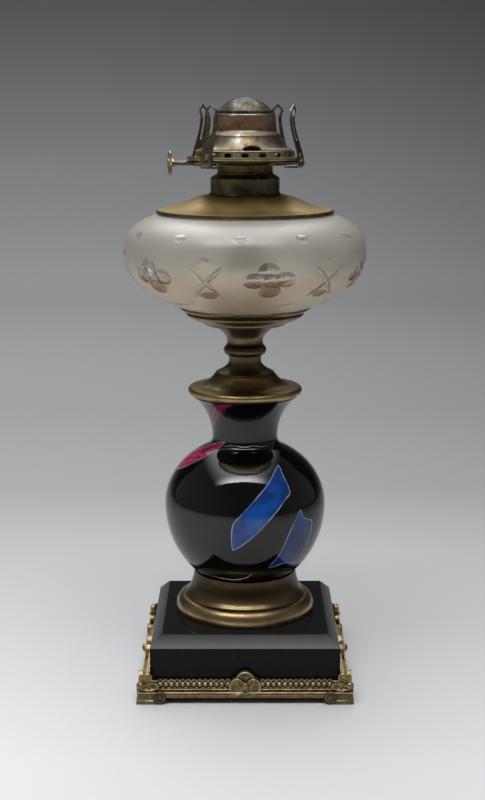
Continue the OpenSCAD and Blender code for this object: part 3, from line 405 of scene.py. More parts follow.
def through(points, steps=6, closed=True):
    """A smooth line through given points of any dimension."""
    count = len(points)
    line = []
    for i in range(count if closed else count - 1):
        near = [points[(i + k) % count] if closed else points[min(count - 1, max(0, i + k))]
                for k in (-1, 0, 1, 2)]
        for j in range(steps):
            t = j / steps
            line.append(tuple(0.5 * (2 * b + (c - a) * t + (2 * a - 5 * b + 4 * c - d) * t * t
                                     + (3 * b - a - 3 * c + d) * t ** 3)
                              for a, b, c, d in zip(*near)))
    return line if closed else line + [tuple(points[-1])]


def width_at(outline, height):
    """How wide an outline that only rises is at a height."""
    for (ax, az), (bx, bz) in zip(outline, outline[1:]):
        if az <= height <= bz:
            return ax + (bx - ax) * (height - az) / max(bz - az, 1e-9)
    return outline[-1][0] if height > outline[-1][1] else outline[0][0]


# Ways of making a shape

def turned(outline, steps=128, closed=True):
    """A shape turned on the lathe from its outline."""
    bm = bmesh.new()
    line = [bm.verts.new((x * MM, 0, z * MM)) for x, z in outline]
    edges = [bm.edges.new(pair) for pair in zip(line, line[1:])]
    if closed:
        edges.append(bm.edges.new((line[-1], line[0])))
    bmesh.ops.spin(bm, geom=line + edges, cent=(0, 0, 0), axis=(0, 0, 1), angle=math.tau, steps=steps,
                   use_merge=True)
    bmesh.ops.remove_doubles(bm, verts=bm.verts, dist=0.002 * MM)
    # An outline that runs along the axis leaves an edge there
    bmesh.ops.delete(bm, geom=[e for e in bm.edges if e.is_wire], context="EDGES")
    return bm


def mitred(outline):
    """A square frame or block whose half width is the outline's."""
    bm = turned([(x * math.sqrt(2), z) for x, z in outline], steps=4)
    bmesh.ops.rotate(bm, verts=bm.verts, cent=(0, 0, 0), matrix=Matrix.Rotation(math.radians(45), 3, "Z"))
    return bm


def ball(radii, centre, fine=24):
    """A ball or an egg."""
    bm = bmesh.new()
    bmesh.ops.create_uvsphere(bm, u_segments=fine, v_segments=fine // 2, radius=1)
    bmesh.ops.scale(bm, verts=bm.verts, vec=[r * MM for r in radii])
    bmesh.ops.translate(bm, verts=bm.verts, vec=[c * MM for c in centre])
    return bm


def block(size, centre, round_by=0.0):
    """A block, with round edges if asked."""
    bm = bmesh.new()
    bmesh.ops.create_cube(bm, size=1)
    bmesh.ops.scale(bm, verts=bm.verts, vec=[s * MM for s in size])
    if round_by:
        bmesh.ops.bevel(bm, geom=bm.edges[:], offset=round_by * MM, affect="EDGES", segments=3, profile=0.5,
                        material=-1)
    bmesh.ops.translate(bm, verts=bm.verts, vec=[c * MM for c in centre])
    return bm


def wire(path, thick, sides=10):
    """A round bar along a path in mm. thick is its radius, or a function of 0 to 1 along it."""
    bm = bmesh.new()
    points = [Vector(p) * MM for p in path]
    last = None
    for i, point in enumerate(points):
        ahead = (points[min(i + 1, len(points) - 1)] - points[max(i - 1, 0)]).normalized()
        share = i / (len(points) - 1)
        radius = thick(share) if callable(thick) else thick
        place = Matrix.Translation(point) @ ahead.to_track_quat("Z", "Y").to_matrix().to_4x4()
        ring = bmesh.ops.create_circle(bm, segments=sides, radius=radius * MM, matrix=place,
                                       cap_ends=i in (0, len(points) - 1))
        loop = [e for e in bm.edges if e.verts[0] in ring["verts"] and e.verts[1] in ring["verts"]]
        if last:
            bmesh.ops.bridge_loops(bm, edges=last + loop)
        last = loop
    return bm


def joined(*parts):
    """Several shapes as one."""
    bm = bmesh.new()
    for part in parts:
        held = bpy.data.meshes.new("held")
        part.to_mesh(held)
        part.free()
        bm.from_mesh(held)
        bpy.data.meshes.remove(held)
    return bm


def repeated(bm, count, turn=None):
    """The same shape again and again round the axis."""
    first = bm.verts[:] + bm.edges[:] + bm.faces[:]
    for i in range(1, count):
        angle = (turn or math.tau / count) * i
        copy = bmesh.ops.duplicate(bm, geom=first)["geom"]
        bmesh.ops.rotate(bm, verts=[v for v in copy if isinstance(v, bmesh.types.BMVert)], cent=(0, 0, 0),
                         matrix=Matrix.Rotation(angle, 3, "Z"))
    return bm


def swung(bm, angle):
    """The shape turned about the lamp's axis."""
    bmesh.ops.rotate(bm, verts=bm.verts, cent=(0, 0, 0), matrix=Matrix.Rotation(angle, 3, "Z"))
    return bm


def facing_front(bm, centre):
    """A shape turned about +Z is laid with that axis towards the front, at a place in mm."""
    bmesh.ops.rotate(bm, verts=bm.verts, cent=(0, 0, 0), matrix=Matrix.Rotation(math.radians(90), 3, "X"))
    bmesh.ops.translate(bm, verts=bm.verts, vec=[c * MM for c in centre])
    return bm


def given_second_finish(bm, where):
    """Gives the faces where the test on their place in mm holds the second finish."""
    for f in bm.faces:
        if where(f.calc_center_median() / MM):
            f.material_index = 1
    return bm


def carved(bm, tool):
    """What is left when a tool is cut from a solid. The cut's faces keep the tool's finish."""
    pair = []
    for solid in (bm, tool):
        bmesh.ops.recalc_face_normals(solid, faces=solid.faces)
        held = bpy.data.meshes.new("held")
        solid.to_mesh(held)
        solid.free()
        for _ in range(5):
            held.materials.append(None)
        pair.append(bpy.data.objects.new("held", held))
        bpy.context.scene.collection.objects.link(pair[-1])
    step = pair[0].modifiers.new("cut", "BOOLEAN")
    step.object = pair[1]
    step.operation = "DIFFERENCE"
    step.solver = "EXACT"
    left = bmesh.new()
    left.from_object(pair[0], bpy.context.evaluated_depsgraph_get())
    for held in pair:
        mesh = held.data
        bpy.data.objects.remove(held)
        bpy.data.meshes.remove(mesh)
    return left


def piece(name, bm, finishes, stands_for, body="lamp", sharp=32, merge=True):
    """Makes the shape an object of the lamp, with smooth faces and sharp edges."""
    if merge:
        bmesh.ops.remove_doubles(bm, verts=bm.verts, dist=0.004 * MM)
        bmesh.ops.recalc_face_normals(bm, faces=bm.faces)
    mesh = bpy.data.meshes.new(name)
    bm.to_mesh(mesh)
    bm.free()
    mesh.shade_smooth()
    mesh.set_sharp_from_angle(angle=math.radians(sharp))
    for finish in finishes:
        mesh.materials.append(finish)
    obj = bpy.data.objects.new(name, mesh)
    bpy.context.scene.collection.objects.link(obj)
    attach(obj, body)
    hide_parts(*stands_for)
    return obj


# Cast frame under the plinth

rail_outline = [
    (62.8, 6.0), (55.5, 6.0), (55.5, 3.9), (69.6, 3.9), (70.0, 4.2), (70.0, 4.9), (69.5, 5.7), (68.9, 6.6),
    (69.1, 6.85), (69.5, 7.05), (69.65, 7.35), (69.4, 7.65), (68.8, 7.75), (68.2, 7.75), (67.7, 7.9),
    (67.45, 8.2), (67.6, 8.55), (67.85, 8.75), (67.85, 9.0), (67.65, 9.15), (67.3, 9.1), (66.9, 8.85),
    (66.2, 8.9), (65.6, 9.4), (65.2, 10.3), (65.1, 12.6), (64.9, 13.3), (64.3, 13.8), (63.0, 13.8), (62.8, 13.6)]
# The top of the lowest ridge takes the paler brass: wear and a painted highlight line
rail = given_second_finish(mitred(rail_outline), lambda p: 6.9 < p.z < 7.7 and max(abs(p.x), abs(p.y)) > 69.2)
# The underside is black, the ground behind the beads brown
for f in rail.faces:
    middle = f.calc_center_median() / MM
    if middle.z < 3.95:
        f.material_index = 2
    elif 9.3 < middle.z < 13.2 and max(abs(middle.x), abs(middle.y)) > 65:
        f.material_index = 3



def scoop(x, z, wide, high):
    """One round hollow of the rows along the rail, with a thin ridge round it whose upper part is paler: wear and a
    painted highlight.
    """
    bm = turned([(0, -0.1), (0.45, 0.0), (0.70, 0.25), (0.76, 0.8), (0.96, 0.8), (0.99, 0.6),
                 (0.99, -1.5), (0, -1.5)], steps=14, closed=False)
    given_second_finish(bm, lambda p: math.hypot(p.x, p.y) > 0.8 and p.z > 0.3 and p.y > -0.2)
    for f in bm.faces:
        if (f.calc_center_median() / MM).xy.length < 0.72:
            f.material_index = 3
    bmesh.ops.scale(bm, verts=bm.verts, vec=(wide, high, 1))
    return facing_front(bm, (x, -65.0, z))


def petal(long, wide, thick, angle, root, veins=7):
    """A cupped petal with a thin pale rim, wear and a painted highlight, and veins. It grows from its root, at an
    angle from the level.
    """
    bm = turned([(0, -0.9), (0.4, -0.8), (0.68, -0.45), (0.82, 0.25), (0.88, 0.6), (0.95, 0.6), (1.0, 0.1),
                 (0.98, -thick), (0, -thick)], steps=40)
    given_second_finish(bm, lambda p: math.hypot(p.x, p.y) > 0.84 and p.z > 0.2)
    for v in bm.verts:
        reach = math.hypot(v.co.x, v.co.y) / MM
        if -1.0 * MM < v.co.z < 0.4 * MM and reach < 0.75:
            v.co.z += 0.35 * MM * reach * math.cos(veins * math.atan2(v.co.y, v.co.x))
        along = (v.co.x / MM + 1) / 2
        v.co.x = (along - 0.05) * long * MM
        v.co.y *= wide / 2 * (0.5 + 0.5 * math.sin(math.pi / 2 * min(1, along * 2.2)))
    bmesh.ops.rotate(bm, verts=bm.verts, cent=(0, 0, 0), matrix=Matrix.Rotation(math.radians(angle), 3, "Z"))
    return facing_front(bm, root)


PITCH = 3.69
scoops = []
for side in (-1, 1):
    for i in range(13):
        scoops.append(scoop(side * (11.4 + i * PITCH), 13.75, PITCH / 2, 1.5))
        bead = ball((1.55, 1.5, 1.85), (side * (11.4 + i * PITCH), -65.3, 11.5), 12)
        # The top front of each bead is paler: wear and a painted highlight
        scoops.append(given_second_finish(bead, lambda p: p.z > 11.9 and p.y < -66.0))
scoops = repeated(joined(*scoops), 4)

rosette = joined(
    petal(12.8, 12.8, 3.4, 90, (0, -68.0, 9.2)),
    petal(11.2, 11.2, 4.2, 185, (0, -68.8, 11.8), 9), petal(11.2, 11.2, 4.2, -5, (0, -68.8, 11.8), 9),
    petal(6.4, 6.4, 3.4, 270, (0, -69.2, 12.0), 5), ball((2.1, 2.0, 2.8), (0, -70.0, 12.0)))
rosettes = repeated(rosette, 4)

# Petals fanned out from a ball on the corner, the same on both sides of it
corner_side = joined(
    petal(10.8, 7.4, 2.3, 58, (-67.6, -69.2, 11.8)),
    petal(12.6, 5.6, 2.6, 6, (-68.2, -69.6, 10.9), 9),
    petal(8.0, 3.6, 2.0, 32, (-68.0, -68.6, 11.8), 5))
leaf = wire([(-67.4 - 0.12 * t, -67.4 - 0.12 * t, 12.5 + 7.6 * t / 8) for t in range(9)],
            lambda t: 0.5 + 0.7 * math.sin(math.pi * min(1, 0.25 + 0.75 * t)) ** 0.8, 12)
other_side = corner_side.copy()
bmesh.ops.scale(other_side, verts=other_side.verts, vec=(-1, 1, 1))
swung(other_side, math.radians(-90))
corner = joined(corner_side, other_side, leaf, ball((2.7, 2.7, 2.7), (-68.5, -68.5, 12.1)),
                block((5.0, 5.0, 7.0), (-66.4, -66.4, 9.2), 1.2))
corners = repeated(corner, 4)

# Scroll foot: an arm along each side of the corner, with a lip, a groove and a scroll at its end
foot_outline = [(63.4, 0.1), (71.0, 0.0), (71.25, 0.3), (71.25, 1.7), (71.0, 2.2), (70.4, 2.5), (70.0, 3.1),
                (69.7, 4.2), (69.6, 5.3), (69.7, 6.2), (70.2, 6.7), (70.7, 7.1), (70.7, 7.6), (70.3, 8.0),
                (68.8, 8.3), (63.4, 8.3)]
SCROLL_X = -56.0
foot = bmesh.new()
mitre = [foot.verts.new((-h * MM, -h * MM, z * MM)) for h, z in foot_outline]
mitre_edges = [foot.edges.new((mitre[i], mitre[(i + 1) % len(mitre)])) for i in range(len(mitre))]
for axis in (0, 1):
    arm = bmesh.ops.extrude_edge_only(foot, edges=mitre_edges)["geom"]
    for v in arm:
        if isinstance(v, bmesh.types.BMVert):
            v.co[axis] = (SCROLL_X - 2.6) * MM
    bmesh.ops.contextual_create(foot, geom=[e for e in arm if isinstance(e, bmesh.types.BMEdge)])
scroll_face = turned([(0, 64.0), (4.1, 64.0), (4.3, 71.0), (4.1, 71.5), (3.6, 71.2), (3.2, 70.8), (1.5, 70.7),
                      (1.3, 71.4), (0.8, 71.8), (0, 71.9)], steps=36)
spiral = wire([(3.75 * (1 - 0.62 * t / 40) * math.cos(math.radians(120 - 13 * t)),
                3.75 * (1 - 0.62 * t / 40) * math.sin(math.radians(120 - 13 * t)), 71.3) for t in range(41)],
              lambda t: 0.7 - 0.25 * t, 8)
scroll = joined(scroll_face, spiral)
facing_front(scroll, (SCROLL_X, 0, 4.4))
other_scroll = scroll.copy()
bmesh.ops.scale(other_scroll, verts=other_scroll.verts, vec=(-1, 1, 1))
swung(other_scroll, math.radians(-90))
bmesh.ops.recalc_face_normals(other_scroll, faces=other_scroll.faces)
feet = repeated(joined(foot, scroll, other_scroll), 4)

for name, shape, finish in (
        ("frame_rail", rail, gilt_brass), ("frame_scoops", scoops, gilt_brass),
        ("frame_rosettes", rosettes, gilt_brass), ("frame_corners", corners, gilt_brass),
        ("frame_feet", feet, feet_brass)):
    piece(name, shape, [finish, worn_and_painted_highlight_brass, iron_lacquer, bead_brass], ["base_frame"], sharp=38)

# Black glass plinth

plinth = mitred([(0, 6.0), (61.9, 6.0), (62.5, 6.6), (62.5, 34.4), (62.3, 35.1), (55.4, 42.1), (54.6, 42.6),
                 (0, 42.6)])
hollow = turned([(0, 4.0), (17, 4.0), (17, 18.0), (5.2, 18.0), (5.2, 44.0), (0, 44.0)], steps=64, closed=False)
given_second_finish(plinth, lambda p: p.z > 42.5)
piece("glass_plinth", carved(plinth, hollow), [plinth_glass, ground_glass], ["plinth"], sharp=20)

# Brass ring between the plinth and the vase

ring_outline = (oval(41.1, 45.6, 6.4, 8, -22, 88, 22)
                + [(40.95, 53.7), (41.3, 53.95), (41.35, 54.25), (40.9, 54.5)]
                + through([(40.5, 55.2), (39.4, 56.4), (38.2, 58.3), (37.1, 60.6), (36.2, 63.3), (35.5, 66.0),
                           (35.1, 68.5), (34.9, 70.8)], 4, closed=False))
piece("foot_ring_shell", turned(skin(ring_outline, 1.0)), [foot_brass], ["foot_ring"])

# Black glass vase and its inlays

vase_line = (traced(40, lambda t: (54.7 * math.cos(math.radians(-63.97 * (1 - t))),
                                   117.767 + 59.5 * math.sin(math.radians(-63.97 * (1 - t)))))
             + traced(40, lambda t: (54.7 * math.cos(math.radians(0.5 + 61.3 * t)),
                                     117.767 + 46 * math.sin(math.radians(0.5 + 61.3 * t))))
             + oval(29, 164.556, 7, 7, 242, 180, 12)[1:]
             + traced(24, lambda t: (22 + 36.4 - math.sqrt(36.4 ** 2 - (28.1 * t) ** 2), 164.556 + 28.1 * t))[1:])
vase_in = ([(5.5, 67.9)] + traced(20, lambda t: (51.1 * math.cos(math.radians(-60 * (1 - t))),
                                                 117.767 + 55.9 * math.sin(math.radians(-60 * (1 - t)))))
           + traced(20, lambda t: (51.1 * math.cos(math.radians(1 + 59 * t)),
                                   117.767 + 42.4 * math.sin(math.radians(1 + 59 * t))))
           + traced(12, lambda t: (18.4 + 36.4 - math.sqrt(36.4 ** 2 - (28.1 * t) ** 2), 164.556 + 28.1 * t)))
piece("glass_vase", turned([(5.5, 64.3)] + vase_line + vase_in[::-1], 144), [vase_glass], ["vase"])


def inlay(name, outline, finish, rim=0.55, lift=0.12):
    """A patch let into the vase. Its outline is in degrees round and mm up, its rim is the pale edge in mm.

    lift is how far it stands out of the black glass, in mm.
    """
    per_radian = 50.0
    bm = bmesh.new()
    face = bm.faces.new([bm.verts.new((math.radians(a) * per_radian, z, 0)) for a, z in through(outline)])
    bm.normal_update()
    if rim:
        bmesh.ops.inset_region(bm, faces=[face], thickness=rim, use_boundary=True, use_even_offset=False)
    for f in bm.faces:
        f.material_index = 1 if f is not face else 0
    for axis in (0, 1):
        low = min(v.co[axis] for v in bm.verts)
        high = max(v.co[axis] for v in bm.verts)
        for k in range(1, int((high - low) / 1.6) + 1):
            spot = [0, 0, 0]
            spot[axis] = low + k * 1.6
            normal = [0, 0, 0]
            normal[axis] = 1
            bmesh.ops.bisect_plane(bm, geom=bm.verts[:] + bm.edges[:] + bm.faces[:], plane_co=spot,
                                   plane_no=normal)
    bmesh.ops.triangulate(bm, faces=bm.faces[:])
    for v in bm.verts:
        turn = v.co.x / per_radian
        reach = width_at(vase_line, v.co.y) + lift
        v.co = (reach * math.sin(turn) * MM, -reach * math.cos(turn) * MM, v.co.y * MM)
    sunk = bmesh.ops.extrude_face_region(bm, geom=bm.faces[:], use_keep_orig=True)["geom"]
    for v in sunk:
        if isinstance(v, bmesh.types.BMVert):
            v.co.xy -= v.co.xy.normalized() * 0.25 * MM
    return piece(name, bm, [finish, edge_glass], ["vase"], sharp=60)


inlay("blue_inlay_shoulder", [
    (36.1, 151.3), (35.2, 146.5), (36.0, 139.9), (35.4, 134.6), (29.5, 130.8), (18.7, 121.1), (6.8, 109.5),
    (-5.8, 100.1), (-9.5, 100.6), (-8.9, 116.0), (-3.5, 123.2), (7.2, 133.4), (16.8, 140.9), (27.6, 148.2)],
    blue_glass)
inlay("blue_inlay_side", [
    (42.7, 123.1), (44.4, 118.8), (49, 115.8), (54.6, 113.4), (54.6, 104.0), (53.0, 92.5), (54.3, 83.8),
    (44, 84.3), (34, 86.0), (20.2, 84.2), (25.9, 93.1), (30.9, 105.8), (35.0, 114.6), (40.2, 121.8)],
    deep_blue_glass)
inlay("rose_inlay_shoulder", [
    (-106, 141.0), (-100, 148.8), (-90.8, 155.6), (-77.1, 159.4), (-60, 161.9), (-44.5, 163.7), (-37, 163.8),
    (-45, 160.0), (-54, 153.6), (-62.1, 149.6), (-72.6, 145.0), (-88, 141.0)], rose_glass)
inlay("rose_inlay_neck", [
    (-34, 190.6), (-27, 192.2), (-10, 192.4), (-17, 190.9), (-26.9, 187.4), (-38.8, 182.6), (-50.2, 178.2),
    (-62.3, 173.7), (-63.6, 177.5), (-51, 184.8), (-42, 188.8)], dusky_glass, rim=0)


def flake(name, path, thick):
    """A thin white flake where the black has been struck, along a path in degrees round and mm up."""
    spots = []
    for a, z in through(path, 6, closed=False):
        turn = math.radians(a)
        reach = width_at(vase_line, z) - 0.08
        spots.append((reach * math.sin(turn), -reach * math.cos(turn), z))
    piece(name, wire(spots, lambda t: 0.05 + thick * math.sin(math.pi * t), 8), [chip_glass], ["vase"])


flake("white_flake_by_the_foot", [(-36, 74.6), (-22, 73.9), (-9, 74.0), (1, 76.2), (7, 80.2)], 0.34)
flake("white_flake_on_the_shoulder", [(-40, 161.0), (-21, 162.0), (0, 161.5), (15, 162.1), (30, 161.2),
                                      (48, 161.4)], 0.24)

# Brass between the vase and the font

vase_cap_line = ([(34.8, 192.956)] + oval(35.8, 196.556, 2.6, 2.6, -48, 62, 14) + [(36.2, 199.1), (34.6, 199.4),
                 (33.8, 199.6)] + traced(16, lambda t: (32 - 11.5 * t, 199.956 + 7.3 * t * t)) + [(20.2, 207.8)])
vase_cap = joined(turned(skin(vase_cap_line, 0.9)),
                  turned([(4.3, 206.5), (19.9, 206.5), (19.9, 207.75), (4.3, 207.75)]))
# The rim keeps the lighter brass; the slope above it takes the darker copy with painted shade
piece("vase_cap_shell", given_second_finish(vase_cap, lambda p: p.z < 198.9), [painted_shade_cap_brass, cap_rim_brass], ["vase_cap"])
lower_line = [(19.4, 207.86), (19.75, 208.2), (19.6, 208.7)] + traced(
    20, lambda t: (10.8 + 8.6 * (1 - t) ** 2, 208.9 + 7.7 * t)) + [(10.8, 219.9)]
piece("stem_lower_shell", turned(skin(lower_line, 2.2)), [stem_brass], ["stem_lower"])
piece("stem_bead_ring", turned([(4.3, 219.99), (10.5, 219.97)] + oval(10.5, 223.756, 3.8, 3.75, -90, 90, 20)
                               + [(10.5, 227.52), (4.3, 227.52)]), [bead_brass], ["stem_bead"])
upper_line = [(12.0, 227.58), (12.25, 227.9), (12.0, 228.5)] + traced(
    20, lambda t: (11.9 + 9 * t ** 2.1, 228.7 + 11.2 * t ** 0.9))
piece("stem_upper_shell", turned(skin(upper_line, 2.2)), [stem_brass], ["stem_upper"])
piece("stem_dish_shell", turned([(4.3, 239.98), (16.8, 239.98)] + oval(20.8, 243.45, 8.1, 3.45, 272, 352, 14)
                                + [(28.95, 243.25), (28.7, 243.5), (4.3, 243.5)]),
      [cup_brass_and_painted_rim_shade], ["stem_dish"])
cup_line = [(27.9, 243.6), (31.3, 243.75), (35.0, 245.1), (37.7, 246.7), (38.9, 247.6), (39.15, 248.2),
            (38.9, 248.75), (38.4, 249.1), (40.6, 250.3), (42.6, 251.4), (43.35, 251.9), (43.4, 252.35),
            (43.1, 252.62)]
piece("font_cup_shell", joined(turned(skin(cup_line, 0.9)),
                               turned([(4.3, 243.6), (28.4, 243.6), (28.4, 245.1), (4.3, 245.1)])),
      [cup_brass_and_painted_rim_shade], ["font_cup"])

# Frosted font with its cuts

FONT_C = 288.131
FONT_R = 80.37


def font_width(z, inset=0.0):
    """Radius of the font's outside at a height, or of its inside where inset is the wall."""
    if z < FONT_C:
        return (FONT_R - inset) * math.sqrt(max(0.0, 1 - ((FONT_C - z) / (41.4 - inset)) ** 2))
    return (FONT_R - inset) * max(0.0, 1 - ((z - FONT_C) / (31.5 - inset)) ** 2.8) ** (1 / 2.8)


def font_spot(turn, z, out=0.0):
    """A place on the font's outside at a direction in degrees, and the matrix that faces out from it."""
    a = math.radians(turn)
    slope = (font_width(z + 0.2) - font_width(z - 0.2)) / 0.4
    normal = Vector((math.sin(a), -math.cos(a), -slope)).normalized()
    reach = font_width(z)
    spot = Vector((reach * math.sin(a), -reach * math.cos(a), z)) + normal * out
    return spot, normal


def cutter(turn, z, wide, high, deep):
    """A wheel's bite into the font: an oval wide and high in mm, and so deep."""
    round_r = (wide * wide / 4 + deep * deep) / (2 * deep)
    squeeze = high / wide
    spot, normal = font_spot(turn, z, round_r - deep)
    bm = bmesh.new()
    bmesh.ops.create_uvsphere(bm, u_segments=72, v_segments=36, radius=round_r * MM)
    side = Vector((-normal.y, normal.x, 0)).normalized()
    up = normal.cross(side)
    frame_of_cut = Matrix((side, up, normal)).transposed()
    bmesh.ops.scale(bm, verts=bm.verts, vec=(1, squeeze, 1))
    bmesh.ops.rotate(bm, verts=bm.verts, cent=(0, 0, 0), matrix=frame_of_cut)
    bmesh.ops.translate(bm, verts=bm.verts, vec=spot * MM)
    return bm


def groove(points, thick=1.35, deep=0.75):
    """A thin cut along the font through points in degrees and mm, running out at its ends."""
    line = through(points, 6, closed=False)
    last = len(line) - 1
    path = [font_spot(a, z, thick - deep * min(1, 4 * i / last, 4 * (last - i) / last))[0]
            for i, (a, z) in enumerate(line)]
    return wire(path, thick, 12)


def polished(bm, finish=1, browned=0.0):
    """The tool whose cuts show as polished glass, or as another finish of the font.

    Below the height browned, in mm, a film of dried oil shows through them.
    """
    for f in bm.faces:
        f.material_index = finish if f.calc_center_median().z > browned * MM else 4
    return bm


font_line = (traced(36, lambda t: (lambda a: (FONT_R * math.cos(a), FONT_C + 41.4 * math.sin(a)))(
    math.radians(-65.92 * (1 - t)))) + traced(40, lambda t: (lambda z: (font_width(z), z))(
        FONT_C + 31.5 * math.sin(math.radians(88 * t)) ** (2 / 2.3)))[1:])
font_line = [p for p in font_line if p[1] < FONT_C or p[0] > 19.4]
font_line += [(18.9, 319.9), (18.6, 320.6), (18.6, 330.6), (18.2, 331.0), (15.0, 331.0), (14.6, 330.6)]
font_in = [(14.6, 319.0), (15.4, 316.2)] + [(font_width(FONT_C + 27.5 * math.sin(math.radians(a)), 4.0),
            FONT_C + 27.5 * math.sin(math.radians(a))) for a in range(76, -1, -4)]
font_in = [p for p in font_in if p[0] > 14.0]
font_in += [((FONT_R - 4) * math.cos(math.radians(a)), FONT_C + 37.4 * math.sin(math.radians(a)))
            for a in range(-4, -66, -3)] + [(20.0, 254.4), (0, 254.3)]
glass = turned([(0, 250.333)] + font_line + font_in, 128, closed=False)
for f in glass.faces:
    middle = f.calc_center_median() / MM
    outer = font_width(middle.z) - math.hypot(middle.x, middle.y)
    f.material_index = 0 if outer < 1.6 and middle.z < 319.5 else 1 if middle.z > 319.5 or middle.z < 252 else 3
sectors = [11.5 + 60 * k for k in range(6)]
upright_petals = joined(*[cutter(s - 1.0, 285.0, 15.0, 13.0, 1.8) for s in sectors],
                        *[cutter(s + 0.3, 271.6, 16.0, 13.4, 1.8) for s in sectors])
middles = joined(*[cutter(s, 278.6, 11.0, 11.0, 1.3) for s in sectors])
side_petals = joined(*[cutter(s + 7.0, 279.2, 15.8, 13.6, 1.8) for s in sectors],
                     *[cutter(s - 7.4, 278.6, 16.0, 13.4, 1.9) for s in sectors])
ovals = joined(*[cutter(-2.2 + 30 * k, 303.6, 11.0, 8.0, 0.75) for k in range(12)],
               *[cutter(s + 30, 290.5, 9.0, 6.0, 0.6) for s in sectors])
facets = joined(*[cutter(s + 30, 268.4, 13.0, 8.0, 1.0) for s in sectors])
# Each garland hangs from the crosses on both sides of it
swag = [(-21.5, 265.3), (-19, 263.0), (-9, 260.4), (0, 259.9), (9, 260.4), (19, 263.0), (21.5, 265.3)]
swags = [joined(*[groove([(s + a, z) for a, z in swag], 1.6, 0.55) for s in sectors[first::2]])
         for first in (0, 1)]
crosses = [joined(*[groove([(s + 30 - lean * 8.5, 266.4), (s + 30 + 0.2 * lean, 277.0 + 0.3 * lean),
                            (s + 30 + lean * 8.5, 287.6)], 1.7, 0.9) for s in sectors]) for lean in (-1, 1)]
for tool in swags:
    glass = carved(glass, polished(tool, 0))
glass = carved(glass, polished(ovals, 2))
for tool in crosses:
    glass = carved(glass, polished(tool, 2))
for tool in (facets, middles, upright_petals, side_petals):
    glass = carved(glass, polished(tool, browned=276.5))
piece("glass_font", glass, [frosted_glass, cut_glass, worn_cuts, stained_inside, browned_cuts], ["font"],
      sharp=22)

# Brass cap on the font and the collar

shoulder_line = ([(58.45, 314.85), (58.5, 315.3), (58.5, 316.6), (58.3, 317.0), (57.9, 317.2)]
                 + [(58 - 33.8 * t, 317.215 + 9.9 * (0.28 * t + 0.72 * (1 - math.cos(math.pi * t ** 1.12)) / 2))
                    for t in [i / 32 for i in range(1, 33)]] + [(23.4, 327.25), (22.4, 327.3)])
# The rim's upright face takes the darker brass of the cup as painted shade, and the band by the collar has painted
# shade too
piece("shoulder_cap_shell", given_second_finish(turned(skin(shoulder_line, 0.55)), lambda p: p.z < 317.1),
      [shoulder_brass, cup_brass_and_painted_rim_shade], ["shoulder_cap"])
collar_line = [(20.6, 327.32), (23.3, 327.32), (23.55, 327.6), (23.4, 328.0), (22.9, 328.5), (22.75, 329.0),
               (22.75, 337.6), (22.4, 338.1), (19.5, 340.0), (18.9, 340.25), (18.55, 340.6), (18.5, 341.3),
               (18.3, 341.5), (16.2, 341.5), (15.95, 341.2)]
thread = [p for k in range(9) for p in ((15.95, 340.6 - k), (16.4, 340.1 - k))]
piece("threaded_collar", turned(collar_line + thread + [(15.95, 331.4), (20.6, 331.35)]),
      [collar_brass], ["collar"])

# Burner

body_line = [(15.75, 333.3)] + [p for k in range(8) for p in ((15.75, 333.6 + k), (15.3, 334.1 + k))] + [
    (15.6, 341.5), (17.9, 341.65), (18.2, 341.95), (18.2, 345.6), (18.4, 346.3), (19.2, 346.8), (19.6, 347.3),
    (19.6, 349.9)]
shell = turned(skin(body_line, 0.7))
bore = wire([(-60, 5.25, 347.415), (60, 5.25, 347.415)], 2.2, 24)
piece("burner_shell", swung(carved(shell, bore), BURNER_TURN), [painted_shade_shell_brass], ["burner_body"],
      body="burner")
plate = turned([(19.6, 350.03), (36.8, 350.03), (37.3, 349.75), (37.8, 349.85), (38.05, 350.4), (38.05, 351.2),
                (37.85, 351.65), (37.4, 351.75), (37.0, 351.45), (36.7, 350.85), (36.2, 350.8), (19.6, 350.8)])
tongues = [swung(block((3.0, 2.4, 0.75), (0, -38.8, 350.41), 0.2), math.radians(turn))
           for turn in PRONG_TURNS.values()]
piece("gallery_plate_rim", joined(plate, *tongues), [burner_brass], ["gallery_plate"],
      body="burner")
band = turned([(33.0, 350.83), (32.9, 351.4), (32.3, 354.8), (32.25, 355.1), (31.5, 355.1), (32.2, 350.83)], 144)
hole = block((4.9, 6, 2.8), (0, -32.4, 353.18))
bmesh.ops.bevel(hole, geom=[e for e in hole.edges if abs(e.verts[0].co.y - e.verts[1].co.y) > MM],
                offset=1.15 * MM, affect="EDGES", segments=5, profile=0.5, material=-1)
piece("air_band_pierced", carved(band, repeated(hole, 18)), [pale_brass], ["air_band"],
      body="burner")
piece("top_flange_ring", turned([(25, 355.13), (31.9, 355.13), (32.2, 355.35), (32.2, 355.7), (31.9, 355.9),
                                 (25, 355.9)]), [pale_brass], ["top_flange"], body="burner")

# Flame deflector

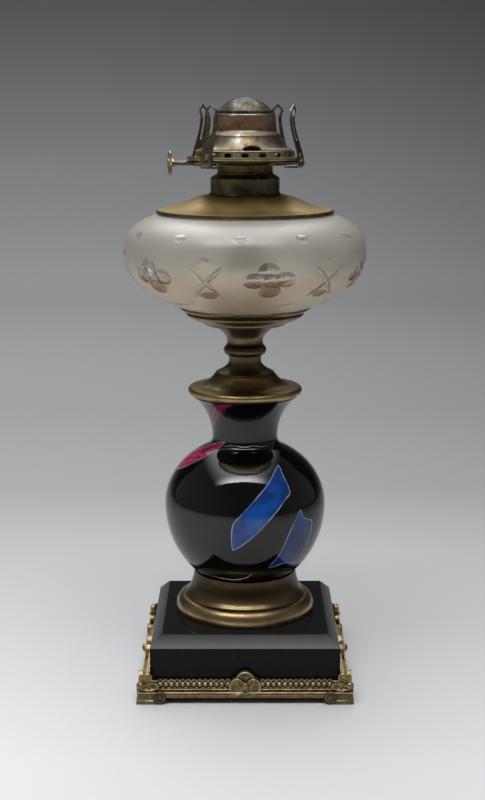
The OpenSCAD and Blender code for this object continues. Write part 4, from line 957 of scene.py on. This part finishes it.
flare = 10.6
bell_line = ([(31.0, 356.02), (31.0, 356.4), (30.75, 356.62), (30.0, 356.7)]
             + [(30.0 - flare * 0.62 * t ** 0.72, 356.72 + 7.9 * t ** 1.25) for t in [i / 20 for i in range(1, 21)]]
             + [(19.9 + (flare * 0.38 - 0.5) * (1 + math.cos(math.pi * t)) / 2, 364.62 + 4.4 * t)
                for t in [i / 14 for i in range(1, 15)]]
             + [(19.4, 373.0), (19.3, 377.6), (19.1, 378.6), (18.5, 379.1), (17.4, 379.2), (15.6, 379.2)])
hood_hole = ball((5.6, 5.6, 2.3), (0, -29.0, 356.6), 32)
bell_in = [(x - 0.7, z) for x, z in bell_line if z < 378.4] + [(15.6, 378.4)]
bell = carved(turned(bell_line + bell_in[::-1], 144), hood_hole)
hood = ball((6.3, 6.3, 3.0), (0, -29.0, 356.6), 32)
for spot, normal in (((0, 0, 356.62 * MM), (0, 0, -1)), ((0, -30.1 * MM, 0), (0, -1, 0)),
                     ((0, -26.4 * MM, 0), (0, 1, 0))):
    bmesh.ops.bisect_plane(hood, geom=hood.verts[:] + hood.edges[:] + hood.faces[:], plane_co=spot,
                           plane_no=normal, clear_outer=True)
bmesh.ops.recalc_face_normals(hood, faces=hood.faces)
bmesh.ops.solidify(hood, geom=hood.faces[:], thickness=0.6 * MM)
# The top edge takes the paler brass, a painted highlight ring
given_second_finish(bell, lambda p: p.z > 377.4)
piece("deflector_bell_shell", swung(bell, BURNER_TURN), [bell_brass, flare_brass], ["deflector_bell"],
      body="deflector", sharp=40)
piece("deflector_hood", swung(hood, BURNER_TURN), [flare_brass], ["deflector_bell"],
      body="deflector", sharp=40)
dome_ball = (16.9 ** 2 + 8.1 ** 2) / (2 * 8.1)
dome_start = math.degrees(math.acos(16.9 / dome_ball))
dome_line = ([(16.7, 379.24), (17.8, 379.3)] + oval(17.2, 380.5, 1.1, 1.1, -60, 80, 12)
             + oval(0, 389.68 - dome_ball, dome_ball, dome_ball, dome_start, 90, 24))
dome_in = oval(0, 389.68 - dome_ball, dome_ball - 0.8, dome_ball - 0.8,
               math.degrees(math.acos(15.9 / (dome_ball - 0.8))), 90, 24)
dome = turned(dome_line + dome_in[::-1] + [(15.7, 379.24)], 144)
slot_tool = block((29, 6, 16), (0, 0, 389))
bmesh.ops.bevel(slot_tool, geom=[e for e in slot_tool.edges if abs(e.verts[0].co.z - e.verts[1].co.z) > MM],
                offset=2.4 * MM, affect="EDGES", segments=6, profile=0.5, material=-1)
piece("deflector_dome_cap", swung(carved(dome, slot_tool), BURNER_TURN), [dome_brass], ["deflector_dome"],
      body="deflector", sharp=40)

# Wick and its wheel

wick = block((25, 2.4, 104), (0, 0, 326.815), 0.9)
piece("braided_wick", swung(wick, BURNER_TURN), [cotton_wick], ["wick"], body="wick")


def along_shaft(bm, x):
    """A shape turned about +Z is laid with that axis along the shaft."""
    bmesh.ops.rotate(bm, verts=bm.verts, cent=(0, 0, 0), matrix=Matrix.Rotation(math.radians(90), 3, "Y"))
    bmesh.ops.translate(bm, verts=bm.verts, vec=(x * MM, 5.25 * MM, 347.415 * MM))
    return swung(bm, BURNER_TURN)


wheel = turned([(1.56, -1.2), (2.6, -1.2), (2.9, -0.5), (6.2, -0.45), (6.6, -0.8), (7.7, -0.8), (8.0, -0.5),
                (8.0, 0.5), (7.7, 0.8), (6.6, 0.8), (6.2, 0.45), (2.9, 0.5), (2.8, 2.3), (2.5, 2.6), (1.56, 2.6)], 96)
for v in wheel.verts:
    reach = math.hypot(v.co.x, v.co.y)
    if reach > 7.5 * MM and round(math.degrees(math.atan2(v.co.y, v.co.x)) / 3.75) % 2:
        v.co.x *= 0.955
        v.co.y *= 0.955
piece("milled_wick_wheel", along_shaft(wheel, -49.0), [burner_brass], ["thumb_wheel"],
      body="winder", sharp=25)
shaft = turned([(0, -50.6), (1.2, -50.6), (1.55, -50.3), (1.55, 40.1), (1.25, 40.5), (0, 40.5)], 32, closed=False)
piece("wick_wheel_shaft", along_shaft(shaft, 0), [steel], ["wick_shaft"], body="winder")

# Chimney prongs

TIP, WIDE, LOW, SEAT = 385.215, 381.215, 376.815, 350.815
prong_widths = [(4.6, 342.0), (4.6, SEAT + 3), (3.9, SEAT + 16), (3.5, LOW), (5.0, WIDE), (0.15, TIP)]
prong_path = ([(28.6, 344.815)] + oval(36.8, 346.815, 2, 2, 270, 350, 8) + [(38.8, 350.015)]
              + [(38.8 - 6.2 * math.sin(math.pi / 2 * min(1, t / 0.72)) * ((t / 0.72) ** 0.35 if t < 0.72 else 1)
                  + (1.3 * ((t - 0.72) / 0.28) ** 1.6 if t > 0.72 else 0), 350.015 + 35.2 * t)
                 for t in [i / 40 for i in range(1, 41)]])
main_slot = [(-1.4, LOW), (-1.4, SEAT + 12.5), (0, SEAT + 11), (1.4, SEAT + 12.5), (1.4, LOW), (3.4, WIDE),
             (0, TIP - 1.7), (-3.4, WIDE)]
tongue_slot = [(-1.9, 348.615), (1.9, 348.615), (1.9, 354.215), (-1.9, 354.215)]


def punch(outline):
    """A prism through the prong's face."""
    bm = bmesh.new()
    face = bm.faces.new([bm.verts.new((30 * MM, x * MM, z * MM)) for x, z in outline])
    far = bmesh.ops.extrude_face_region(bm, geom=[face])["geom"]
    bmesh.ops.translate(bm, verts=[v for v in far if isinstance(v, bmesh.types.BMVert)], vec=(12 * MM, 0, 0))
    return bm


for where, turn in PRONG_TURNS.items():
    strip = bmesh.new()
    steps = len(prong_path) - 1
    bmesh.ops.create_grid(strip, x_segments=6, y_segments=steps, size=0.5)
    for v in strip.verts:
        r, z = prong_path[round((v.co.y + 0.5) * steps)]
        half = width_at(prong_widths, z)
        v.co = (r * MM, v.co.x * 2 * half * MM, z * MM)
    bmesh.ops.recalc_face_normals(strip, faces=strip.faces)
    if sum(f.normal.x for f in strip.faces) < 0:
        bmesh.ops.reverse_faces(strip, faces=strip.faces)
    bmesh.ops.solidify(strip, geom=strip.faces[:], thickness=0.8 * MM)
    bmesh.ops.translate(strip, verts=strip.verts, vec=(0.4 * MM, 0, 0))
    for outline in (main_slot, tongue_slot):
        strip = carved(strip, punch(outline))
    swung(strip, math.radians(turn - 90))
    made = piece(f"chimney_prong_{where}", strip, [prong_brass], [f"prong_{where}"],
                 body=f"prong_{where}", sharp=40)
    edge = made.modifiers.new("worn edge", "BEVEL")
    edge.width = 0.14 * MM
    edge.segments = 2
    edge.angle_limit = math.radians(50)

# Solids that keep the shape of the frame, with their own finishes

for finish, names in (
        (iron_lacquer, ["base_plate"]), (steel, ["tie_rod", "lower_nut", "lower_washer", "upper_nut"]),
        (plaster, ["cup_plaster", "neck_plaster"]),
        (burner_brass, ["draft_plate", "wick_tube", "shaft_sleeves", "sprocket_wheels"])):
    for name in names:
        for held in nodes[name].material_slots:
            held.material = finish

# Floor, backdrop, lamps and camera

scene = bpy.context.scene
paper, paper_tree, paper_shader = blank("graded_background_paper")
paper_place = add(paper_tree, "ShaderNodeSeparateXYZ",
                  {"Vector": add(paper_tree, "ShaderNodeTexCoord").outputs["Object"]})
back = add(paper_tree, "ShaderNodeMath", {0: paper_place.outputs["Y"], 1: paper_place.outputs["Z"]},
           operation="ADD")
grade = add(paper_tree, "ShaderNodeMapRange", {"Value": back.outputs["Value"], "From Min": -1.0,
                                               "From Max": 5.0})
# The paper is graded from pale near the lamp to dark up the sweep; its steps also paint in the shade of the light
# falling off towards the back
paper_colour = add(paper_tree, "ShaderNodeValToRGB", {"Fac": grade.outputs["Result"]}, stops=[
    (0.14, grey(0.70)), (0.166, grey(0.59)), (0.2, grey(0.475)), (0.245, grey(0.335)), (0.31, grey(0.30)),
    (0.415, grey(0.318)), (0.522, grey(0.355)), (0.617, grey(0.27)), (0.717, grey(0.125))])
# Painted light: the paper's colour is darker to the right, standing in for light falling more from the left
painted_side_light = add(paper_tree, "ShaderNodeMapRange", {"Value": paper_place.outputs["X"], "From Min": -1.0, "From Max": 1.0,
                                              "To Min": 1.25, "To Max": 0.75})
shaded = add(paper_tree, "ShaderNodeVectorMath", {0: paper_colour.outputs["Color"], "Scale": painted_side_light.outputs["Result"]},
             operation="SCALE")
paper_tree.links.new(shaded.outputs["Vector"], paper_shader.inputs["Base Color"])
paper_shader.inputs["Roughness"].default_value = 0.9
paper_shader.inputs["Specular IOR Level"].default_value = 0.2
sweep = bmesh.new()
sweep_line = [(-4.0, 0.0), (1.9, 0.0)] + [(1.9 + 0.8 * math.sin(math.radians(a)),
                                           0.8 - 0.8 * math.cos(math.radians(a))) for a in range(6, 91, 6)]
sweep_line.append((2.7, 3.2))
edge_line = [sweep.verts.new((-4.0, y, z)) for y, z in sweep_line]
sweep_edges = [sweep.edges.new(pair) for pair in zip(edge_line, edge_line[1:])]
spread = bmesh.ops.extrude_edge_only(sweep, edges=sweep_edges)["geom"]
bmesh.ops.translate(sweep, verts=[v for v in spread if isinstance(v, bmesh.types.BMVert)], vec=(8.0, 0, 0))
bmesh.ops.recalc_face_normals(sweep, faces=sweep.faces)
sweep_mesh = bpy.data.meshes.new("paper_sweep")
sweep.to_mesh(sweep_mesh)
sweep.free()
sweep_mesh.shade_smooth()
sweep_mesh.materials.append(paper)
floor = bpy.data.objects.new("paper_sweep", sweep_mesh)
scene.collection.objects.link(floor)

# A dim room: lighter walls to the left and right of the paper, darker towards the front
world = bpy.data.worlds.new("dim_room")
world.use_nodes = True
room = world.node_tree
aim = add(room, "ShaderNodeSeparateXYZ", {"Vector": add(room, "ShaderNodeTexCoord").outputs["Generated"]})
walls = add(room, "ShaderNodeMapRange", {"Value": aim.outputs["X"], "From Min": -1.0, "From Max": 1.0})
wall_light = add(room, "ShaderNodeValToRGB", {"Fac": walls.outputs["Result"]}, stops=[
    (0.0, grey(0.2)), (0.25, grey(0.12)), (0.42, grey(0.085)), (0.58, grey(0.085)), (0.8, grey(0.11)),
    (1.0, grey(0.17))])
room.links.new(wall_light.outputs["Color"], room.nodes["Background"].inputs["Color"])
scene.world = world


def soft_lamp(name, place, aim, size, power, tint):
    """A soft box at a place, aimed at a point, in metres and watts.

    It fades towards its ends, and its tube is near the front, so it is brightest there.
    """
    light = bpy.data.lights.new(name, "AREA")
    light.use_nodes = True
    tree = light.node_tree
    across = add(tree, "ShaderNodeNewGeometry").outputs["Parametric"]
    apart = add(tree, "ShaderNodeSeparateXYZ", {"Vector": across})
    from_end = add(tree, "ShaderNodeMath", {0: apart.outputs["X"], 1: 0.5}, operation="PINGPONG")
    edge = add(tree, "ShaderNodeMapRange", {"Value": from_end.outputs["Value"], "From Min": 0.0, "From Max": 0.4},
               interpolation_type="SMOOTHSTEP")
    tube = add(tree, "ShaderNodeMapRange", {"Value": apart.outputs["Y"], "From Min": 0.0, "From Max": 0.16,
                                            "To Min": 4.4, "To Max": 1.0}, interpolation_type="SMOOTHSTEP")
    glow = add(tree, "ShaderNodeMath", {0: edge.outputs["Result"], 1: tube.outputs["Result"]},
               operation="MULTIPLY")
    tree.links.new(glow.outputs["Value"], tree.nodes["Emission"].inputs["Strength"])
    light.shape = "RECTANGLE"
    light.size, light.size_y = size
    light.energy = power
    light.color = linear(tint)[:3]
    lamp = bpy.data.objects.new(name, light)
    lamp.location = place
    lamp.rotation_euler = (Vector(aim) - Vector(place)).to_track_quat("-Z", "Y").to_euler()
    scene.collection.objects.link(lamp)


soft_lamp("overhead_box", (-0.15, 0.62, 1.6), (-0.15, 0.63, 0.0), (2.3, 2.8), 66, "#FAFCFF")

lens = bpy.data.cameras.new("camera")
lens.lens = 65.2
lens.sensor_width = 36
lens.sensor_fit = "AUTO"
lens.clip_start = 0.01
camera = bpy.data.objects.new("camera", lens)
camera.location = (-0.0017, -0.9608, 0.3841)
camera.rotation_euler = (math.radians(78.52), 0, 0)
scene.collection.objects.link(camera)
scene.camera = camera
scene.view_settings.view_transform = "Standard"
